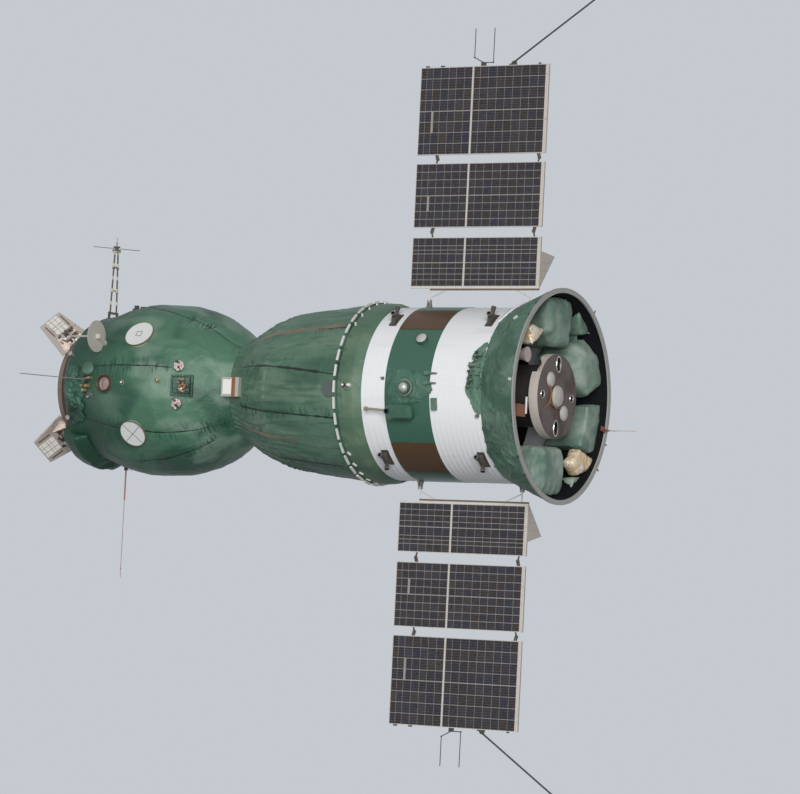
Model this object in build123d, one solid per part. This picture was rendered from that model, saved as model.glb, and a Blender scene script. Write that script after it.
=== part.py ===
from build123d import *
import os
from collections import namedtuple
from math import atan, cos, degrees, radians, sin

# Crewed three-module spacecraft in free flight, wings deployed.
# Frame: long axis on X, nose towards -X, engine towards +X, wings along +Z and -Z,
# origin on the long axis at the reference plane of the aft ring. Millimetres.
# An angle round the hull is 0 at -Y and grows upwards, so that 90 is at +Z.

# Gaps
SEAT = 0.3                 # between a fitting and the curved hull under it
SLIDE = 0.3                # round a rod in its sleeve, radially
PIN_FIT = 0.1              # round a hinge pin, radially
CHEEK = 1.0                # beside a hinge ear
MOVE = 6.0                 # between pieces that move past each other
SINK = 14.0                # how deep a fitting starts before the hull is cut from it

# Service module, front to rear along the hull
LACING_LENGTH = 50.0
TRANSFER_LENGTH = 320.0
FORE_RADIATOR_LENGTH = 340.0
BAND_LENGTH = 640.0
AFT_RADIATOR_LENGTH = 720.0
SKIRT_LENGTH = 560.0
SKIRT_REAR = -20.0
RING_REAR = 0.0
BAY_DEPTH = 420.0          # of the engine bay ahead of the skirt
RADIATOR_R = 1108.0
RADIATOR_WALL = 38.0
BAND_STEP = 6.0            # what each outer skin stands over the radiators
TRANSFER_STEP = 48.0
TRANSFER_TAPER = 120.0     # length of the transfer section's rear cone
LACING_STEP = 60.0
SKIRT_FLARE = 242.0
SKIRT_WALL = 38.0
RING_LIP = 10.0
RING_WIDTH = 62.0
BROWN_PANEL_T = 7.0

SKIRT_FRONT = SKIRT_REAR - SKIRT_LENGTH
AFT_RADIATOR_FRONT = SKIRT_FRONT - AFT_RADIATOR_LENGTH
BAND_FRONT = AFT_RADIATOR_FRONT - BAND_LENGTH
FORE_RADIATOR_FRONT = BAND_FRONT - FORE_RADIATOR_LENGTH
LACING_REAR = FORE_RADIATOR_FRONT - TRANSFER_LENGTH
DESCENT_REAR = LACING_REAR - LACING_LENGTH
BAY_FRONT = SKIRT_FRONT - BAY_DEPTH
CORE_R = RADIATOR_R - RADIATOR_WALL
BAND_R = RADIATOR_R + BAND_STEP
TRANSFER_R = RADIATOR_R + TRANSFER_STEP
LACING_R = RADIATOR_R + LACING_STEP
SKIRT_REAR_R = RADIATOR_R + SKIRT_FLARE
RING_R = SKIRT_REAR_R + RING_LIP
RING_INNER_R = RING_R - RING_WIDTH

# Clips that lace the descent module to the transfer section
CLIP_COUNT = 36
CLIP_LENGTH = 150.0
CLIP_WIDTH = 26.0
CLIP_RISE = 22.0
REAR_CLIP = (22.0, 60.0, 18.0)
REAR_CLIP_INSET = 27.0
REAR_CLIP_TURN = 28.0

# Descent module
DESCENT_LENGTH = 1850.0
DESCENT_REAR_R = LACING_R - 30
WAIST = DESCENT_REAR - DESCENT_LENGTH
WAIST_R = 668.0
# share of the length aft of the waist, share of the way out to the rear radius
DESCENT_SHAPE = [
    (0.0, 0.0), (0.054, 0.068), (0.135, 0.270), (0.216, 0.443),
    (0.378, 0.685), (0.649, 0.847), (1.0, 1.0),
]

# Orbital module
ORBITAL_LENGTH = 2430.0
ORBITAL_R = 1131.0
FRONT_WALL = 160.0
REAR_WALL = 220.0
TUNNEL_R = 400.0
ORBITAL_FRONT = WAIST - ORBITAL_LENGTH
CABIN_FRONT = ORBITAL_FRONT + FRONT_WALL
CABIN_REAR = WAIST - REAR_WALL
# share of the length ahead of the waist, share of the full radius
ORBITAL_SHAPE = [
    (0.049, 0.622), (0.123, 0.741), (0.206, 0.851), (0.296, 0.928), (0.391, 0.986),
    (0.626, 1.0), (0.753, 0.943), (0.864, 0.866), (0.979, 0.827), (1.0, 0.787),
]
CABIN_FRONT_SHARE = 0.707  # of the full radius
CABIN_REAR_SHARE = 0.62
CABIN_SHAPE = [(0.626, 0.893), (0.391, 0.884)]

# Docking unit
COLLAR_LENGTH = 178.0
COLLAR_R = 590.0
COLLAR_FLANGE_R = 632.0
COLLAR_FLANGE_W = 36.0
COLLAR_FRONT = ORBITAL_FRONT - COLLAR_LENGTH
GUIDE_R = COLLAR_FLANGE_R + 68
GUIDE_INNER_R = COLLAR_FLANGE_R - 12
GUIDE_WIDTH = 64.0
GUIDE_REAR = COLLAR_FRONT - MOVE
GUIDE_FRONT = GUIDE_REAR - GUIDE_WIDTH
STROKE = 220.0             # travel of the guide ring
ROD_R = 15.0
ROD_CIRCLE_R = COLLAR_FLANGE_R + 33
ROD_ANGLES = (40.0, 80.0, 160.0, 200.0, 280.0, 320.0)
ROD_HOLD = 35.0            # of a rod in its sleeve with the ring fully out
SLEEVE_WALL = 9.0
SLEEVE_FRONT = COLLAR_FRONT + COLLAR_FLANGE_W + 37
KNUCKLE_R = 26.0
KNUCKLE_LENGTH = 50.0
CUFF_LENGTH = 120.0        # padded blanket round the sleeves
CUFF_INNER_R = ROD_CIRCLE_R + 40
CUFF_FRONT_R = CUFF_INNER_R + 30
CUFF_REAR_R = CUFF_INNER_R + 70

# Petals of the guide ring
PETAL_ANGLES = (60.0, -60.0, 180.0)
PETAL_FLARE = 48.5         # from the long axis
PETAL_BASE_HALF = 340.0
PETAL_TIP_HALF = 231.0
PETAL_LENGTH = 500.0
PETAL_T = 28.0
PETAL_ROOT_R = GUIDE_R - 55
PAD_ROWS = (0.62, 0.86)    # shares of the length
PAD_COLUMNS = (-1, 0, 1)
PAD_PITCH = 90.0
PAD_SIZE = (56.0, 96.0, 6.0)
WEB_OFFSET = 180.0
WEB_T = 12.0
WEB_CORNERS = [(10, -1), (230, -1), (40, 82)]

# Hatch at the inner end of the tunnel
HATCH_R = TUNNEL_R + 40
HATCH_T = 30.0
HATCH_BOSS_T = 14.0
HATCH_HINGE_Y = HATCH_R + 50
HATCH_AXIS_X = CABIN_FRONT + 26
HATCH_PIN_R = 8.0
HATCH_HUB_R = HATCH_PIN_R + 8
HATCH_HUB_HALF = 60.0
HATCH_EAR_T = 12.0

# Blanket-covered box low on the front shoulder
COVER_ANGLES = (-105.0, -40.0)
COVER_INNER_R = CUFF_REAR_R + 5
# offset from the module's front, radius over the box's inner side
COVER_SHAPE = [(-165, 0), (-160, 120), (-100, 235), (130, 312), (330, 220), (330, 0)]

# Orbital module fittings, stations aft of the module's front
Fitting = namedtuple("Fitting", "station angle size height")
PORTHOLE = Fitting(786, 0.0, 128.0, 22.0)
PANE_R = 96.0
PLATE_STATION = 1155.0
PLATE_PROUD = 18.0
PLATES = [(36.0, 200.0), (-34.0, 186.0), (144.0, 200.0), (-146.0, 186.0)]
KNOBS = [
    Fitting(1072, 0.7, 20, 22), Fitting(1605, 2.3, 16, 15), Fitting(1839, 14.0, 70, 60),
    Fitting(1829, -13.0, 70, 60), Fitting(68, 24.6, 34, 46), Fitting(68, -26.5, 34, 46),
    Fitting(500, -8.2, 36, 49), Fitting(545, 90.0, 26, 32), Fitting(594, -84.0, 22, 25),
]
TARGET = Fitting(600, 29.4, 208.0, 132.0)
TARGET_T = 8.0
TARGET_POST = 420.0
ROD_ANTENNA = Fitting(430, 3.0, 64.0, 46.0)
ROD_ANTENNA_LENGTH = 1058.0
SENSOR = Fitting(1895, 0.0, 0.0, 40.0)
SENSOR_FRAME = (290.0, 275.0)
SENSOR_OPENING = (240.0, 225.0)
SENSOR_HEAD = (220.0, 205.0)
PERISCOPE_X = WAIST + 120
PERISCOPE_HALF_LENGTH = 130.0
PERISCOPE_HALF_WIDTH = 125.0
PERISCOPE_R = WAIST_R + 192

# Mast on the orbital module
MAST_X = ORBITAL_FRONT + 105
MAST_PIVOT_Z = 0.834 * ORBITAL_R + 82      # over the hull's radius under it
MAST_FOOT_Z = MAST_PIVOT_Z - 69
MAST_HALF = 75.0
MAST_TOP_HALF = 36.0
MAST_HEIGHT = 833.0
MAST_SPIKE = 189.0
MAST_KNOTS = (305.0, 625.0)
MAST_LEG_R = 11.0
MAST_KNOT_R = 19.0
MAST_HUB_R = 17.0
MAST_PIN_R = 8.0
MAST_EAR_T = 12.0
MAST_HEAD = (68.0, 104.0, 40.0)
MAST_CAP_R = 46.0
MAST_ARM = (195.0, 267.0)
MAST_TOP_Z = MAST_PIVOT_Z + MAST_HEIGHT

# Whip under the orbital module
WHIP_X = ORBITAL_FRONT + 448
WHIP_PIVOT_Z = 65 - ORBITAL_R
WHIP_THICK_LENGTH = 410.0
WHIP_LENGTH = 1438.0
WHIP_TIP = 114.0           # beyond the knot
WHIP_R = 11.0
WHIP_THIN_R = 4.0
WHIP_HUB_R = 14.0
WHIP_HUB_HALF = 16.0
WHIP_EAR_T = 9.0

# Service module fittings
THRUSTER_STATIONS = (FORE_RADIATOR_FRONT + 210, SKIRT_FRONT - 120)
THRUSTER_PLACES = [(53.0, 1), (-50.0, 1), (127.0, -1), (-130.0, -1)]
THRUSTER_BASE = (100.0, 250.0)
THRUSTER_RISE = 84.0
NOZZLE_R = 33.0
NOZZLE_SIDES = 12
SENSOR_DISC = Fitting(BAND_FRONT + 316, 0.0, 112.0, 60.0)
SENSOR_DOME = (84.0, 42.0)
SMALL_DISC = Fitting(BAND_FRONT + 418, 33.0, 70.0, 60.0)
ION_SENSOR_X = BAND_FRONT + 250
ION_SENSOR_ANGLE = -15.0
ION_SENSOR_SIZE = (360.0, 200.0, 150.0)
ION_SENSOR_CORNER = 60.0
ION_SENSOR_CROWN = 60.0    # height over which its sides lean in
ION_SENSOR_LEAN = 35.0
ION_LENS_R = 38.0
ION_PROBE = 310.0
HALF_PLATE_R = 110.0
HALF_PLATE_RISE = 16.0
BAND_PINS = (9.5, 3.2)
PIN_STATION = AFT_RADIATOR_FRONT - 45
SKIRT_PIECES = [(22.0, 52.0), (9.5, 46.0), (1.5, 40.0), (-17.0, 36.0)]
SKIRT_PIECE_X = SKIRT_FRONT - 44
HORN_X = SKIRT_FRONT - 60
HORN_ANGLE = 15.0
SKIRT_LAMPS = [(SKIRT_REAR - 251, 46.7, 35.0), (SKIRT_REAR - 40, 4.7, 20.0)]

# Engine bay
DRUM_R = 533.0
DRUM_REAR = SKIRT_REAR - 65
DRUM_DEPTH = 130.0
DRUM_CORE_R = DRUM_R - 140
DRUM_FACE_T = 24.0
DRUM_NOTCH_DEPTH = 90.0
DRUM_NOTCH_ANGLES = (31.0, 62.0)
NOZZLE_CIRCLE_R = DRUM_R - 131
SMALL_NOZZLE = (44.0, 44.0)
LARGE_NOZZLE = (56.0, 92.0)
NOZZLE_DEPTH = 90.0
NOZZLE_WALL = 6.0
CAP_CIRCLE_R = DRUM_R - 253
MAIN_CAP = (124.0, 30.0)
SIDE_CAP = (84.0, 22.0)
BAY_TOP = SKIRT_REAR_R + 50        # beyond the skirt, to be cut back to it
RING_ROD_R = 11.0
RING_ROD_ANGLE = -164.5
RING_ROD_LENGTH = 440.0
RING_LUGS = (125.0, -158.0, -142.0)
RING_LUG_R = 9.0
RING_LUG_RISE = 50.0
RING_BRACKET = (60.0, 110.0)

# Wrapped packs in the bay: corners in Y and Z and those of a smaller rear face, as shares of the skirt's
# rear radius; where they start, step in and end, ahead of the skirt's rear edge
BayPack = namedtuple("BayPack", "corners face front step rear")
PACK_FRONT = SKIRT_LENGTH + 60
PACK_BACK = SKIRT_LENGTH - 160
TANKS = [
    BayPack([(-0.222, 0.570), (-0.007, 0.463), (0.233, 0.474), (0.304, 0.822), (0.289, 1.037),
             (-0.207, 1.037)],
            [(-0.185, 0.593), (0.000, 0.496), (0.207, 0.504), (0.259, 0.800), (0.244, 0.874),
             (-0.170, 0.874)],
            PACK_FRONT, 140, 60),
    BayPack([(0.296, 0.385), (0.537, 0.589), (0.881, 0.633), (1.037, 0.519), (1.037, 0.148),
             (0.704, 0.033), (0.404, 0.137)],
            [(0.444, 0.370), (0.561, 0.444), (0.841, 0.449), (0.889, 0.400), (0.911, 0.178),
             (0.622, 0.052), (0.533, 0.178)],
            PACK_FRONT, 180, 50),
    BayPack([(0.415, 0.748), (0.481, 0.619), (0.778, 0.663), (0.852, 0.670), (0.667, 0.852),
             (0.422, 0.963)],
            [],
            PACK_BACK, 70, 70),
    BayPack([(0.652, -0.044), (0.793, -0.015), (1.037, 0.015), (1.037, -0.289), (0.863, -0.453),
             (0.756, -0.498), (0.544, -0.436), (0.641, -0.233)],
            [],
            PACK_FRONT, 50, 50),
    BayPack([(-0.296, -0.481), (0.244, -0.463), (0.307, -0.570), (0.348, -1.037), (-0.289, -1.037)],
            [(-0.196, -0.519), (0.141, -0.485), (0.211, -0.630), (0.141, -0.859), (-0.178, -0.852)],
            PACK_FRONT, 170, 60),
    BayPack([(0.452, -0.737), (0.711, -0.683), (0.822, -0.630), (0.807, -0.741), (0.563, -0.889),
             (0.404, -0.896)],
            [],
            PACK_BACK, 80, 80),
]
FOILS = [
    BayPack([(-0.537, 0.615), (-0.422, 0.633), (-0.2215, 0.596), (-0.363, 0.489), (-0.474, 0.437)],
            [],
            300, 100, 100),
    BayPack([(0.333, -0.585), (0.489, -0.448), (0.774, -0.522), (0.819, -0.585), (0.704, -0.658),
             (0.474, -0.715), (0.359, -0.637)],
            [],
            190, 35, 35),
]

# Solar wings
WING_LENGTH = 1852.0
WING_REAR = SKIRT_FRONT + 172
WING_FRONT = WING_REAR - WING_LENGTH
PANEL_T = 24.0
FRAME_W = 22.0             # frame on the far side
EDGE_W = 8.0               # frame round the cells on the near side
REAR_EDGE_W = 48.0
CELL_RECESS = 3.0
RIB_DEPTH = 13.0
RIB_COUNT = 3
RIB_W = 16.0
DIVIDER_SHARE = 0.412
DIVIDER_W = 26.0
ROOT_Z = RADIATOR_R + 92   # height of the root hinge over the long axis
FOLD_PITCH = 60.0          # between folded panels
HINGE_STATIONS = (BAND_FRONT - 35, SKIRT_FRONT + 70)
EAR_T = 12.0
EAR_R = 14.0
PIN_R = 6.0
ROOT_PIN_R = 8.0
ROOT_EYE_R = 16.0
TUBE_R = 11.0
BRACE_R = 8.0
ROOT_EYE_T = 2 * TUBE_R + 2
ROOT_BASE_RISE = 16.0
STRIP_H = 24.0             # strip under the inner panel
BAR_H = 24.0               # bar under the strip
BAR_T = 18.0
BRACE_RUN = 230.0
BRACE_RISE = 36.0
ROOT_RUN = 183.0           # from the root hinge to the inner panel
INNER_SPAN = 633.0
MIDDLE_GAP = 127.0
MIDDLE_SPAN = 827.0
OUTER_GAP = 110.0
OUTER_SPAN = 1136.0
# inner and outer edge over the long axis
INNER_PANEL = (ROOT_Z + ROOT_RUN, ROOT_Z + ROOT_RUN + INNER_SPAN)
MIDDLE_PANEL = (INNER_PANEL[1] + MIDDLE_GAP, INNER_PANEL[1] + MIDDLE_GAP + MIDDLE_SPAN)
OUTER_PANEL = (MIDDLE_PANEL[1] + OUTER_GAP, MIDDLE_PANEL[1] + OUTER_GAP + OUTER_SPAN)
MIDDLE_AXIS = (-FOLD_PITCH / 2, INNER_PANEL[1] + MIDDLE_GAP / 2)
OUTER_AXIS = (FOLD_PITCH / 2, MIDDLE_PANEL[1] + OUTER_GAP / 2)
# an ear's tip as shares of its radius, towards the axis and across
EAR_TIP = [(1, -0.4), (1, 0.4), (0.4, 1), (-0.4, 1), (-1, 0.4), (-1, -0.4)]

# Gusset on the rear edge of each inner panel
GUSSET_T = 8.0
GUSSET_DROP = 22.0         # below the panel's edge
GUSSET_HEIGHT = 475.0
GUSSET_SLOPE = 75.0        # of its outer edge
GUSSET_REACH = 195.0
GUSSET_RIM = 14.0
GUSSET_RIBS = (0.3, 0.5, 0.7)

# Antennas at the wing tips
FORK_STATIONS = (WING_FRONT + 766, WING_FRONT + 1041)
FORK_RISES = (113.0, 42.0)
FORK_HEIGHT = 488.0
FORK_ROD_R = 6.0
LONG_ROD_X = WING_REAR - 517
LONG_ROD_R = 12.0
LONG_ROD_LENGTH = 1700.0
LONG_ROD_RAKE = 34.5       # from the long axis
LONG_ROD_FOOT = 34.0


def turned(corners):
    """Solid turned about the long axis from station and radius corners."""
    return revolve(make_face(Polyline(*corners, close=True)), Axis.X)


def ring(front, rear, inner, outer):
    """Plain ring between two stations."""
    return turned([(front, inner), (rear, inner), (rear, outer), (front, outer)])


def disc(front, rear, radius):
    """Plain disc on the long axis between two stations."""
    return Pos((front + rear) / 2, 0, 0) * Rot(0, 90, 0) * Cylinder(radius, rear - front)


def sector(corners, start, end):
    """Part of a turned body between two angles round the hull."""
    face = Rot(180 - end, 0, 0) * make_face(Polyline(*corners, close=True))
    return revolve(face, Axis.X, end - start)


def hull(rows, extra=0.0):
    """Hull filled to the long axis, its rows a station and a radius."""
    corners = [(station, radius + extra) for station, radius in rows]
    return turned(corners + [(rows[-1][0], 0), (rows[0][0], 0)])


def seat(station, radius, angle, lean=0.0):
    """Place on the hull: local z points outward and leans aft, local x aft, local y up the angle."""
    c, s = cos(radians(angle)), sin(radians(angle))
    origin = (station, -radius * c, radius * s)
    return Plane(origin=origin, x_dir=(1, 0, 0), z_dir=(0, -c, s)).location * Rot(0, lean, 0)


def on_hull(rows, station, angle):
    """Place on a hull's outline, square to its surface."""
    for (start, radius), (end, end_radius) in zip(rows, rows[1:]):
        if min(start, end) <= station <= max(start, end):
            slope = (end_radius - radius) / (end - start)
            level = radius + slope * (station - start)
            return seat(station, level, angle, -degrees(atan(slope)))


def on_axis_line(station, radius, angle):
    """Point at a station, a radius and an angle."""
    c, s = cos(radians(angle)), sin(radians(angle))
    return station, -radius * c, radius * s


def between(start, end):
    """Place at one point whose local z runs to another, and the way between them."""
    a, b = Vector(*start), Vector(*end)
    return Plane(origin=a, z_dir=(b - a)).location, (b - a).length


def bar(start, end, radius):
    """Round bar between two points."""
    place, length = between(start, end)
    return place * low_cylinder(radius, length)


def rod(start, end, radius, sides=8):
    """Slim bar of a few flat sides between two points."""
    place, length = between(start, end)
    return place * extrude(RegularPolygon(radius, sides), length)


def bell(start, end, radius, end_radius):
    """Nozzle or horn that widens between two points."""
    place, length = between(start, end)
    flare = degrees(atan((end_radius - radius) / length))
    return place * extrude(RegularPolygon(radius, NOZZLE_SIDES), length, taper=-flare)


def block(low, high):
    """Box between two corners."""
    size = [h - l for l, h in zip(low, high)]
    middle = [(h + l) / 2 for l, h in zip(low, high)]
    return Pos(*middle) * Box(*size)


def plate_face(corners, station):
    """Flat face across the long axis, its corners in Y and Z."""
    place = Plane(origin=(station, 0, 0), x_dir=(0, 1, 0), z_dir=(1, 0, 0)).location
    return place * make_face(Polyline(*corners, close=True))


def plate_yz(corners, front, rear):
    """Plate with its outline in Y and Z and its thickness along X."""
    return extrude(plate_face(corners, front), rear - front)


def plate_xz(corners, thickness):
    """Plate with its outline in X and Z, centred on Y = 0."""
    face = Plane(origin=(0, thickness / 2, 0), x_dir=(1, 0, 0), z_dir=(0, -1, 0)).location
    return face * extrude(make_face(Polyline(*corners, close=True)), thickness)


def low_cylinder(radius, height):
    """Cylinder standing on the local plane."""
    return Cylinder(radius, height, align=(Align.CENTER, Align.CENTER, Align.MIN))


def low_box(length, width, height):
    """Box standing on the local plane."""
    return Box(length, width, height, align=(Align.CENTER, Align.CENTER, Align.MIN))


def knob(size, height):
    """Eight-sided knob, with enough below it to reach a curved hull."""
    return Pos(0, 0, -SINK) * extrude(RegularPolygon(size, 8), height + SINK)


ORBITAL_ROWS = [(WAIST, WAIST_R)] + [
    (WAIST - length * ORBITAL_LENGTH, width * ORBITAL_R) for length, width in ORBITAL_SHAPE
]
DESCENT_ROWS = [
    (WAIST + length * DESCENT_LENGTH, WAIST_R + width * (DESCENT_REAR_R - WAIST_R))
    for length, width in DESCENT_SHAPE
]
CABIN_ROWS = [(CABIN_FRONT, CABIN_FRONT_SHARE * ORBITAL_R)] + [
    (WAIST - length * ORBITAL_LENGTH, width * ORBITAL_R) for length, width in CABIN_SHAPE
] + [(CABIN_REAR, CABIN_REAR_SHARE * ORBITAL_R)]
SKIRT_ROWS = [(SKIRT_FRONT, RADIATOR_R), (SKIRT_REAR, SKIRT_REAR_R)]

# What fittings are cut back to, so that they seat on the hull
orbital_clear = hull(ORBITAL_ROWS, SEAT)
descent_clear = hull(DESCENT_ROWS, SEAT)
radiator_clear = disc(FORE_RADIATOR_FRONT, SKIRT_FRONT, RADIATOR_R + SEAT)
band_clear = disc(BAND_FRONT, AFT_RADIATOR_FRONT, BAND_R + SEAT)
skirt_clear = hull(SKIRT_ROWS, SEAT)


def orbital_module():
    """Hollow hull with the tunnel mouth and the bores of the guide ring's rods."""
    shell = hull(ORBITAL_ROWS) - hull(CABIN_ROWS)
    shell -= disc(ORBITAL_FRONT - 10, CABIN_FRONT + 10, TUNNEL_R)
    for angle in ROD_ANGLES:
        start = on_axis_line(ORBITAL_FRONT - 10, ROD_CIRCLE_R, angle)
        end = on_axis_line(CABIN_FRONT + 10, ROD_CIRCLE_R, angle)
        shell -= bar(start, end, ROD_R + SLIDE)
    return shell


def docking_collar():
    """Tunnel wall with the sealing flange."""
    return turned([
        (COLLAR_FRONT, TUNNEL_R), (ORBITAL_FRONT, TUNNEL_R), (ORBITAL_FRONT, COLLAR_R),
        (COLLAR_FRONT + COLLAR_FLANGE_W, COLLAR_R), (COLLAR_FRONT + COLLAR_FLANGE_W, COLLAR_FLANGE_R),
        (COLLAR_FRONT, COLLAR_FLANGE_R),
    ])


def rod_sleeves():
    """Square blocks that the guide ring's rods slide in."""
    width = 2 * (ROD_R + SLIDE + SLEEVE_WALL)
    length = ORBITAL_FRONT - SLEEVE_FRONT
    sleeves = []
    for angle in ROD_ANGLES:
        place = seat((SLEEVE_FRONT + ORBITAL_FRONT) / 2, ROD_CIRCLE_R, angle)
        bore = Rot(0, 90, 0) * Cylinder(ROD_R + SLIDE, length + 10)
        sleeves.append(place * (Box(length, width, width) - bore))
    return Compound(children=sleeves)


def collar_blanket():
    """Padded blanket cuff round the sleeves."""
    front = ORBITAL_FRONT - CUFF_LENGTH
    return turned([(front, CUFF_INNER_R), (front, CUFF_FRONT_R),
                   (ORBITAL_FRONT, CUFF_REAR_R), (ORBITAL_FRONT, CUFF_INNER_R)])


def guide_ring():
    """Ring that carries the petals."""
    return ring(GUIDE_FRONT, GUIDE_REAR, GUIDE_INNER_R, GUIDE_R)


def guide_rods():
    """Rods behind the guide ring with a knuckle on each, long enough for the travel."""
    rear = SLEEVE_FRONT + STROKE + ROD_HOLD
    rods = []
    for angle in ROD_ANGLES:
        foot = on_axis_line(GUIDE_REAR, ROD_CIRCLE_R, angle)
        shape = bar(foot, on_axis_line(rear, ROD_CIRCLE_R, angle), ROD_R)
        shape += rod(foot, on_axis_line(GUIDE_REAR + KNUCKLE_LENGTH, ROD_CIRCLE_R, angle), KNUCKLE_R)
        rods.append(shape)
    return Compound(children=rods)


def petal():
    """Flared plate with raised pads in two rows and a web at each side of its base."""
    outline = [
        (-PETAL_BASE_HALF, 0), (PETAL_BASE_HALF, 0),
        (PETAL_TIP_HALF, PETAL_LENGTH), (-PETAL_TIP_HALF, PETAL_LENGTH),
    ]
    plate = extrude(make_face(Polyline(*outline, close=True)), PETAL_T)
    for share in PAD_ROWS:
        for column in PAD_COLUMNS:
            plate += Pos(column * PAD_PITCH, share * PETAL_LENGTH, PETAL_T) * low_box(*PAD_SIZE)
    for side in (-1, 1):
        start = side * WEB_OFFSET - WEB_T / 2
        plate += Pos(0, 0, PETAL_T) * plate_yz(WEB_CORNERS, start, start + WEB_T)
    return plate


def guide_petals():
    """Three petals that flare forward and outward from the guide ring."""
    flare = radians(PETAL_FLARE)
    ring_space = disc(GUIDE_FRONT, GUIDE_REAR + KNUCKLE_LENGTH, GUIDE_R + SEAT)
    petals = []
    for angle in PETAL_ANGLES:
        # local y climbs the flare, local x runs round the ring
        c, s = cos(radians(angle)), sin(radians(angle))
        up = Vector(-cos(flare), -sin(flare) * c, sin(flare) * s)
        side = Vector(0, s, c)
        origin = on_axis_line(GUIDE_FRONT, PETAL_ROOT_R, angle)
        place = Plane(origin=origin, x_dir=side, z_dir=side.cross(up)).location
        petals.append(place * petal() - ring_space)
    return Compound(children=petals)


def tunnel_hatch():
    """Round lid on the inside of the tunnel mouth, with its arm and hub."""
    lid = disc(CABIN_FRONT, CABIN_FRONT + HATCH_T, HATCH_R)
    lid += disc(CABIN_FRONT + HATCH_T, CABIN_FRONT + HATCH_T + HATCH_BOSS_T, TUNNEL_R * 0.66)
    arm = block((HATCH_AXIS_X - 10, TUNNEL_R - 20, -HATCH_HUB_HALF),
                (HATCH_AXIS_X + 12, HATCH_HINGE_Y, HATCH_HUB_HALF))
    place = Pos(HATCH_AXIS_X, HATCH_HINGE_Y, 0)
    hub = place * Cylinder(HATCH_HUB_R, 2 * HATCH_HUB_HALF)
    bore = place * Cylinder(HATCH_PIN_R + PIN_FIT, 4 * HATCH_HUB_HALF)
    return lid + arm + hub - bore


def hatch_bracket():
    """Two ears and the pin on the cabin's front wall."""
    place = Pos(HATCH_AXIS_X, HATCH_HINGE_Y, 0)
    inner = HATCH_HUB_HALF + CHEEK
    bracket = place * Cylinder(HATCH_PIN_R, 2 * (inner + HATCH_EAR_T))
    for low in (inner, -inner - HATCH_EAR_T):
        bracket += block((CABIN_FRONT, HATCH_HINGE_Y - HATCH_HUB_R, low),
                         (HATCH_AXIS_X + HATCH_HUB_R, HATCH_HINGE_Y + HATCH_HUB_R, low + HATCH_EAR_T))
    return bracket


# Wings, built upwards and mirrored for the lower one

def ear(station, edge_z, axis_y, axis_z, radius=EAR_R, thick=EAR_T):
    """Lug from a panel's edge to a hinge axis."""
    way = 1 if axis_z > edge_z else -1
    corners = [(-PANEL_T / 2, edge_z), (PANEL_T / 2, edge_z)]
    corners += [(axis_y + across * radius, axis_z + along * radius * way) for across, along in EAR_TIP]
    return plate_yz(corners, station - thick / 2, station + thick / 2)


def cross_pin(station, axis_y, axis_z, radius, length):
    """Pin or bore along X on a hinge axis."""
    return Pos(station, axis_y, axis_z) * Rot(0, 90, 0) * Cylinder(radius, length)


def panel(edges, inner_axis=None, outer_axis=None):
    """Framed panel: cell recesses on the near side, ribs on the far side, hinge ears."""
    low, high = edges
    middle = (low + high) / 2
    board = block((WING_FRONT, -PANEL_T / 2, low), (WING_REAR, PANEL_T / 2, high))
    divider = WING_FRONT + DIVIDER_SHARE * WING_LENGTH
    fields = [(WING_FRONT + EDGE_W, divider - DIVIDER_W / 2),
              (divider + DIVIDER_W / 2, WING_REAR - REAR_EDGE_W)]
    for start, end in fields:
        board -= block((start, -PANEL_T / 2 - 1, low + EDGE_W),
                       (end, -PANEL_T / 2 + CELL_RECESS, high - EDGE_W))
    span = (WING_LENGTH - 2 * FRAME_W - RIB_COUNT * RIB_W) / (RIB_COUNT + 1)
    halves = [(low + FRAME_W, middle - RIB_W / 2), (middle + RIB_W / 2, high - FRAME_W)]
    for index in range(RIB_COUNT + 1):
        start = WING_FRONT + FRAME_W + index * (span + RIB_W)
        for bottom, top in halves:
            board -= block((start, PANEL_T / 2 - RIB_DEPTH, bottom), (start + span, PANEL_T / 2 + 1, top))
    for station in HINGE_STATIONS:
        if outer_axis:
            board += ear(station, high, *outer_axis)
            board -= cross_pin(station, *outer_axis, PIN_R + PIN_FIT, EAR_T * 2)
        if inner_axis:
            for sign in (-1, 1):
                board += ear(station + sign * (EAR_T + CHEEK), low, *inner_axis)
            board += cross_pin(station, *inner_axis, PIN_R, 2 * CHEEK + EAR_T * 2)
    return board


def root_frame():
    """Tubes, a bar and a strip that carry the inner panel from its two root hinges."""
    strip_z = INNER_PANEL[0] - STRIP_H
    rail_z = strip_z - BAR_H
    frame = block((WING_FRONT, -PANEL_T / 2, strip_z), (WING_REAR, PANEL_T / 2, INNER_PANEL[0]))
    frame += block((HINGE_STATIONS[0], -BAR_T / 2, rail_z), (WING_REAR, BAR_T / 2, strip_z))
    for station, run in zip(HINGE_STATIONS, (BRACE_RUN, -BRACE_RUN)):
        frame += rod((station, 0, ROOT_Z), (station, 0, rail_z + 2), TUBE_R)
        frame += rod((station, 0, ROOT_Z + BRACE_RISE), (station + run, 0, rail_z + 4), BRACE_R)
        frame += cross_pin(station, 0, ROOT_Z, ROOT_EYE_R, ROOT_EYE_T)
        frame -= cross_pin(station, 0, ROOT_Z, ROOT_PIN_R + PIN_FIT, 2 * ROOT_EYE_T)
    return frame


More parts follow.
